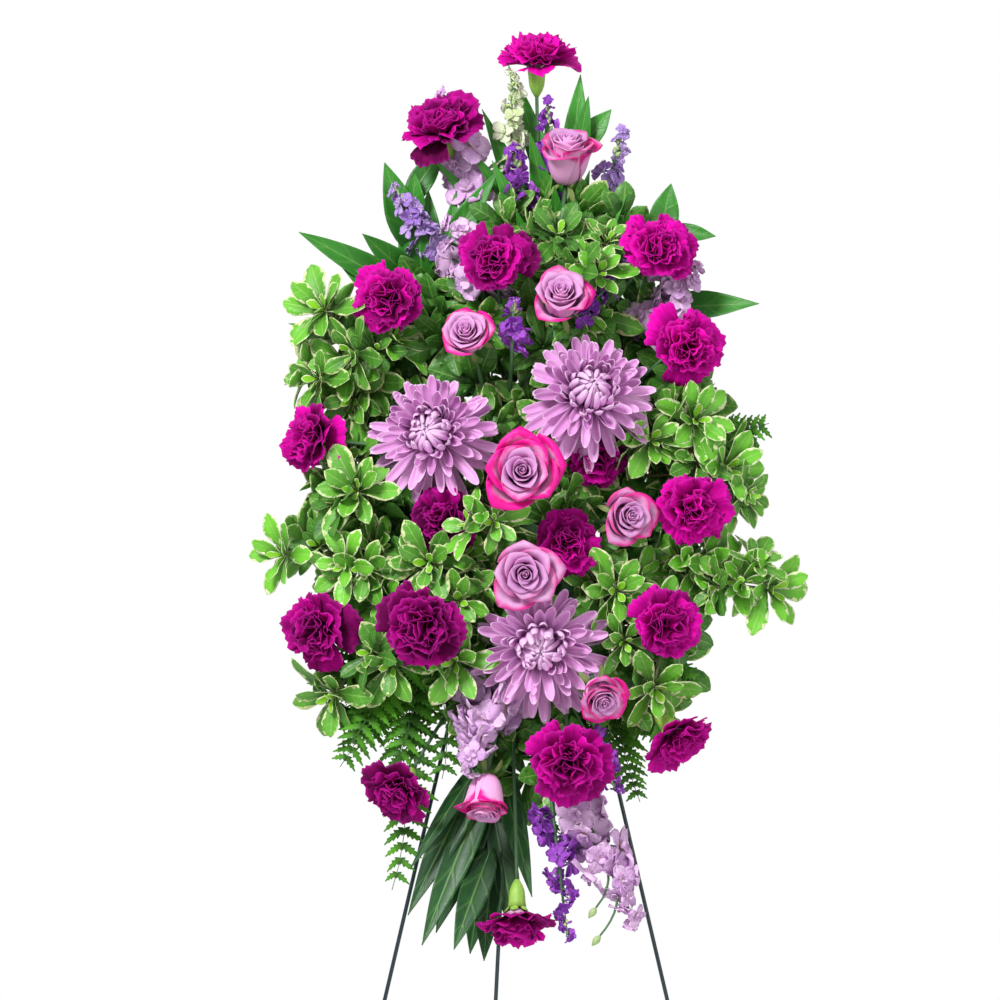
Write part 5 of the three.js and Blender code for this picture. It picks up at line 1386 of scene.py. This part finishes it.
# A row is [node, x, height, distance in front, diameter, turn, lift, how much longer the petals are below
# where the rose is seen from the side, how pink the rims are].
ROSES = [
    ["rose_01", 42, 1463, 102, 66, 6, 62, 0.4, 0.9],
    ["rose_02", 35, 1314, 172, 68, 2, 32, 0.0, 0.82],
    ["rose_03", -60, 1276, 165, 62, -10, 25, 0.0, 0.82],
    ["rose_04", -4, 1138, 200, 92, 0, 5, 0.0, 1.05],
    ["rose_05", 102, 1093, 165, 64, 22, 4, 0.0, 0.88],
    ["rose_06", -1, 1035, 198, 77, 0, -2, 0.0, 0.8],
    ["rose_07", 76, 911, 172, 60, 16, -28, 0.0, 0.98],
    ["rose_08", -41, 803, 115, 57, -8, -66, 0.4, 1.05],
]
ROSE_PETALS = 22
ROSE_SEPALS = 5
ROSE_THICK = 0.5
ROSE_STEM = 2.4
ROSE_ROWS, ROSE_COLUMNS = 9, 13
# The hip: where it ends, as a share of the radius, its length, and its radii from the stem up.
ROSE_FOOT = -0.8
HIP_LENGTH = 14
HIP = (2.6, 3.2, 4.4, 5.2, 5.4, 5.0)
# The heights of the tight heart in the middle, and half its widths, as shares of the radius.
HEART_UP = (ROSE_FOOT, -0.3, 0.1, 0.3, 0.36)
HEART_HALF = (0.1, 0.12, 0.07, 0.02)
# The rims' heights at their distances from the axis, as shares of the radius.
RIM_OUT = (0.0, 0.14, 0.32, 0.55, 0.78, 1.0)
RIM_UP = (0.42, 0.44, 0.46, 0.4, 0.27, 0.04)


def rose_petal(draw, r, foot, outer, angle):
    """A petal wound round the axis. outer is 0 in the heart and 1 for the last petal."""
    t, u = shares(ROSE_ROWS, ROSE_COLUMNS)
    rim_out = r * (0.03 + 0.93 * outer**1.3) * draw.uniform(0.96, 1.04)
    rim_up = r * (np.interp(rim_out / r, RIM_OUT, RIM_UP) + draw.uniform(-0.02, 0.02))
    belly = (0.14 + 0.66 * outer) * r
    flare = math.radians(-12 + 100 * outer**0.75 + draw.uniform(-9, 9))
    before = (rim_out - 0.42 * r * math.sin(flare), rim_up - 0.42 * r * math.cos(flare))
    handles = np.array([(0.16 * r, foot), (belly, foot + 0.12 * r), before, (rim_out, rim_up)])
    high = t * (1 - 0.2 * np.abs(u) ** 2.4)
    line = bezier(handles, high)
    spread, up = line[..., 0], line[..., 1]
    rolled = np.clip((high - 0.8) / 0.2, 0, 1) ** 2 * r * outer**2
    waves = 0.03 * r * outer * t**3 * np.sin(draw.uniform(3, 5) * u + draw.uniform(0, 6))
    point = 0.1 * r * outer * np.exp(-((u / 0.16) ** 2)) * t**6
    uneven = 0.07 * t * np.sin(2.4 * u + draw.uniform(0, 6))
    spread = np.maximum(spread + point, 0.01 * r) * (1 + (0.16 - 0.08 * outer) * u * t + uneven)
    up = up - 0.1 * rolled + waves
    wrap = math.radians(215 - 95 * outer)
    turn = angle + u * wrap / 2 * (0.45 + 0.55 * np.sin(math.pi / 2 * np.minimum(1, 1.25 * high)))
    return np.stack([spread * np.cos(turn), spread * np.sin(turn), up], -1)


for seed, (node, x, z, out, diameter, turn, lift, deeper, pinkness) in enumerate(ROSES, start=600):
    draw = np.random.default_rng(seed)
    piece = Piece(node + "_bloom", rose_petal_skin, green_stem, hip_green)
    centre, axis, r = in_front(x, z, out), facing(turn, lift), diameter / 2
    bloom_stem(piece, node, centre, axis, ROSE_FOOT * r, HIP_LENGTH, HIP, ROSE_STEM)
    foot = (ROSE_FOOT - deeper) * r
    for i in range(ROSE_PETALS):
        outer = i / (ROSE_PETALS - 1)
        grid = rose_petal(draw, r, foot, outer, i * GOLDEN)
        tint = outer * draw.uniform(0.85, 1.1) * pinkness
        piece.sheet(set_round(grid, 0, centre, axis), ROSE_THICK, tint)
    heart = [centre + share * r * axis for share in HEART_UP]
    piece.tube(heart, [share * r for share in HEART_HALF], 8, tint=0.1)
    for angle in evenly(ROSE_SEPALS):
        sepal = oval_petal(0.7 * r, 3.0, draw.uniform(-35, 20), -60, cup=0.3, rows=7) + (4, 0, foot)
        piece.sheet(set_round(sepal, angle, centre, axis), ROSE_THICK, 0.5, GREEN)
    piece.finish("stand", "rose_petal", node)


# Carnations. A full head of fan-shaped petals with pinked rims, crumpled and ruffled in every direction,
# out of a long pale green calyx with five teeth.
# Its near-black heart colour (28, 0, 16), which reaches most of the way up each petal, is painted shade in
# the folds of the head.
carnation_skin, tree, shader, colour = petal_material(
    "carnation petal", 0.8, (94, 0, 66), (240, 2, 180), (160, 0, 118), (28, 0, 16), 0.9, 9.0,
    Specular_IOR_Level=0.1,
)
along, *_, back = marks(tree)
colour = laid_over(tree, colour, stepped(tree, along, 0.9, 1.0), 0.2, srgb(236, 60, 200))
colour = laid_over(tree, colour, faded(tree, along, 0.2, 0.5), back, srgb(236, 196, 222))
tree.links.new(colour, shader.inputs["Base Color"])

# A row is [node, x, height, distance in front, diameter, turn, lift, how dark the head is]. The
# darkness is partly the head's own tone and partly painted shade.
CARNATIONS = [
    ["carnation_01", 11, 1554, 55, 74, 0, 72, -0.35],
    ["carnation_02", -86, 1484, 80, 76, -25, 48, 0.3],
    ["carnation_03", -33, 1349, 160, 70, -3, 8, 0.25],
    ["carnation_04", -138, 1310, 135, 70, -15, 6, 0.1],
    ["carnation_05", 132, 1361, 125, 70, 16, 18, -0.2],
    ["carnation_06", 162, 1263, 130, 75, 20, 4, -0.15],
    ["carnation_07", -213, 1171, 100, 72, -52, 6, 0.1],
    ["carnation_08", -81, 1089, 130, 66, -8, 0, 0.5],
    ["carnation_09", 70, 1150, 112, 60, 8, -8, 0.25],
    ["carnation_10", 40, 1066, 138, 68, 6, -2, 0.2],
    ["carnation_11", 167, 1101, 135, 75, 22, 0, -0.2],
    ["carnation_12", -104, 982, 160, 82, -11, -5, 0.45],
    ["carnation_13", -208, 979, 102, 76, -42, -6, 0.35],
    ["carnation_14", 139, 985, 135, 75, 20, -8, 0.0],
    ["carnation_15", -128, 818, 95, 64, -28, -35, 0.4],
    ["carnation_16", 44, 847, 136, 85, 3, -17, 0.1],
    ["carnation_17", 150, 872, 95, 74, 50, -48, -0.1],
    ["carnation_18", -9, 690, 76, 72, 0, -78, 0.15],
]
FRILL_PETALS = 32
FRILL_ROWS, FRILL_COLUMNS = 6, 15
CARNATION_STEM = 1.8
# The calyx: where it ends, as a share of the radius, its length, and its radii from the stem up.
CARNATION_FOOT = -0.34
CALYX_LENGTH = 27
CARNATION_CALYX = (2.4, 5.6, 7.6, 8.2, 8.6, 9.4)
CALYX_TEETH = 5
TOOTH_THICK = 0.7


def frill_petal(draw, r, inner):
    """A fan-shaped petal. inner is 0 for the outermost and 1 in the middle."""
    t, u = shares(FRILL_ROWS, FRILL_COLUMNS)
    length = r * (1.08 - 0.2 * inner) * draw.uniform(0.86, 1.08)
    spread = math.radians(draw.uniform(32, 46))
    teeth = 0.026 * np.where(np.arange(FRILL_COLUMNS) % 2, 1, -1) * (t == 1)
    lobes = 0.05 * np.sin(draw.uniform(3, 6) * u + draw.uniform(0, 6)) * t
    far = length * t * (1 + teeth + lobes)
    forward, side = far * np.cos(spread * u), far * np.sin(spread * u) * (1 - 0.1 * t - 0.1 * inner * t)
    waves, small = draw.uniform(1.0, 1.8) + 0.7 * inner, draw.uniform(3.5, 5.5)
    ruffle = (0.07 + 0.08 * inner) * np.sin(math.pi * waves * u + draw.uniform(0, 6) + 1.5 * t)
    ruffle = ruffle + 0.03 * np.sin(math.pi * small * u + draw.uniform(0, 6))
    lift = r * ruffle * t**1.4 + (0.05 + 0.75 * inner) * side**2 / length
    climb = math.radians(46 + 42 * inner + draw.normal(0, 8))
    bend = math.radians(-64 + 54 * inner + draw.normal(0, 16))
    return bent(forward, side, lift, length, climb, bend)


for seed, (node, x, z, out, diameter, turn, lift, dark) in enumerate(CARNATIONS, start=700):
    draw = np.random.default_rng(seed)
    piece = Piece(node + "_bloom", carnation_skin, green_stem, pale_green)
    centre, axis, r = in_front(x, z, out), facing(turn, lift), diameter / 2
    foot = CARNATION_FOOT * r
    bloom_stem(piece, node, centre, axis, foot, CALYX_LENGTH, CARNATION_CALYX, CARNATION_STEM)
    for angle in evenly(CALYX_TEETH):
        tooth = oval_petal(11, 4.6, 64, -24, cup=0.3, rows=5) + (6.6, 0, foot - 4)
        piece.sheet(set_round(tooth, angle, centre, axis), TOOTH_THICK, 0.5, GREEN)
    fuller = draw.uniform(0, 6, 2)  # turns the two waves in the head's outline, so that no two are alike
    for i in range(FRILL_PETALS):
        inner = (i / (FRILL_PETALS - 1)) ** 0.85
        angle = i * GOLDEN + draw.normal(0, 0.15)
        size = 1.03 + 0.07 * math.sin(2 * angle + fuller[0]) + 0.05 * math.sin(3 * angle + fuller[1])
        grid = frill_petal(draw, r * size, inner)
        grid += (0.1 * r * (1 - 0.6 * inner), 0, foot)
        # The head's darkness lowers every petal's tint: partly painted shade.
        shade = 0.58 - dark + draw.uniform(-0.35, 0.4)
        piece.sheet(set_round(grid, angle, centre, axis), PETAL_THICK, shade)
    piece.finish("stand", "carnation_petal", node)
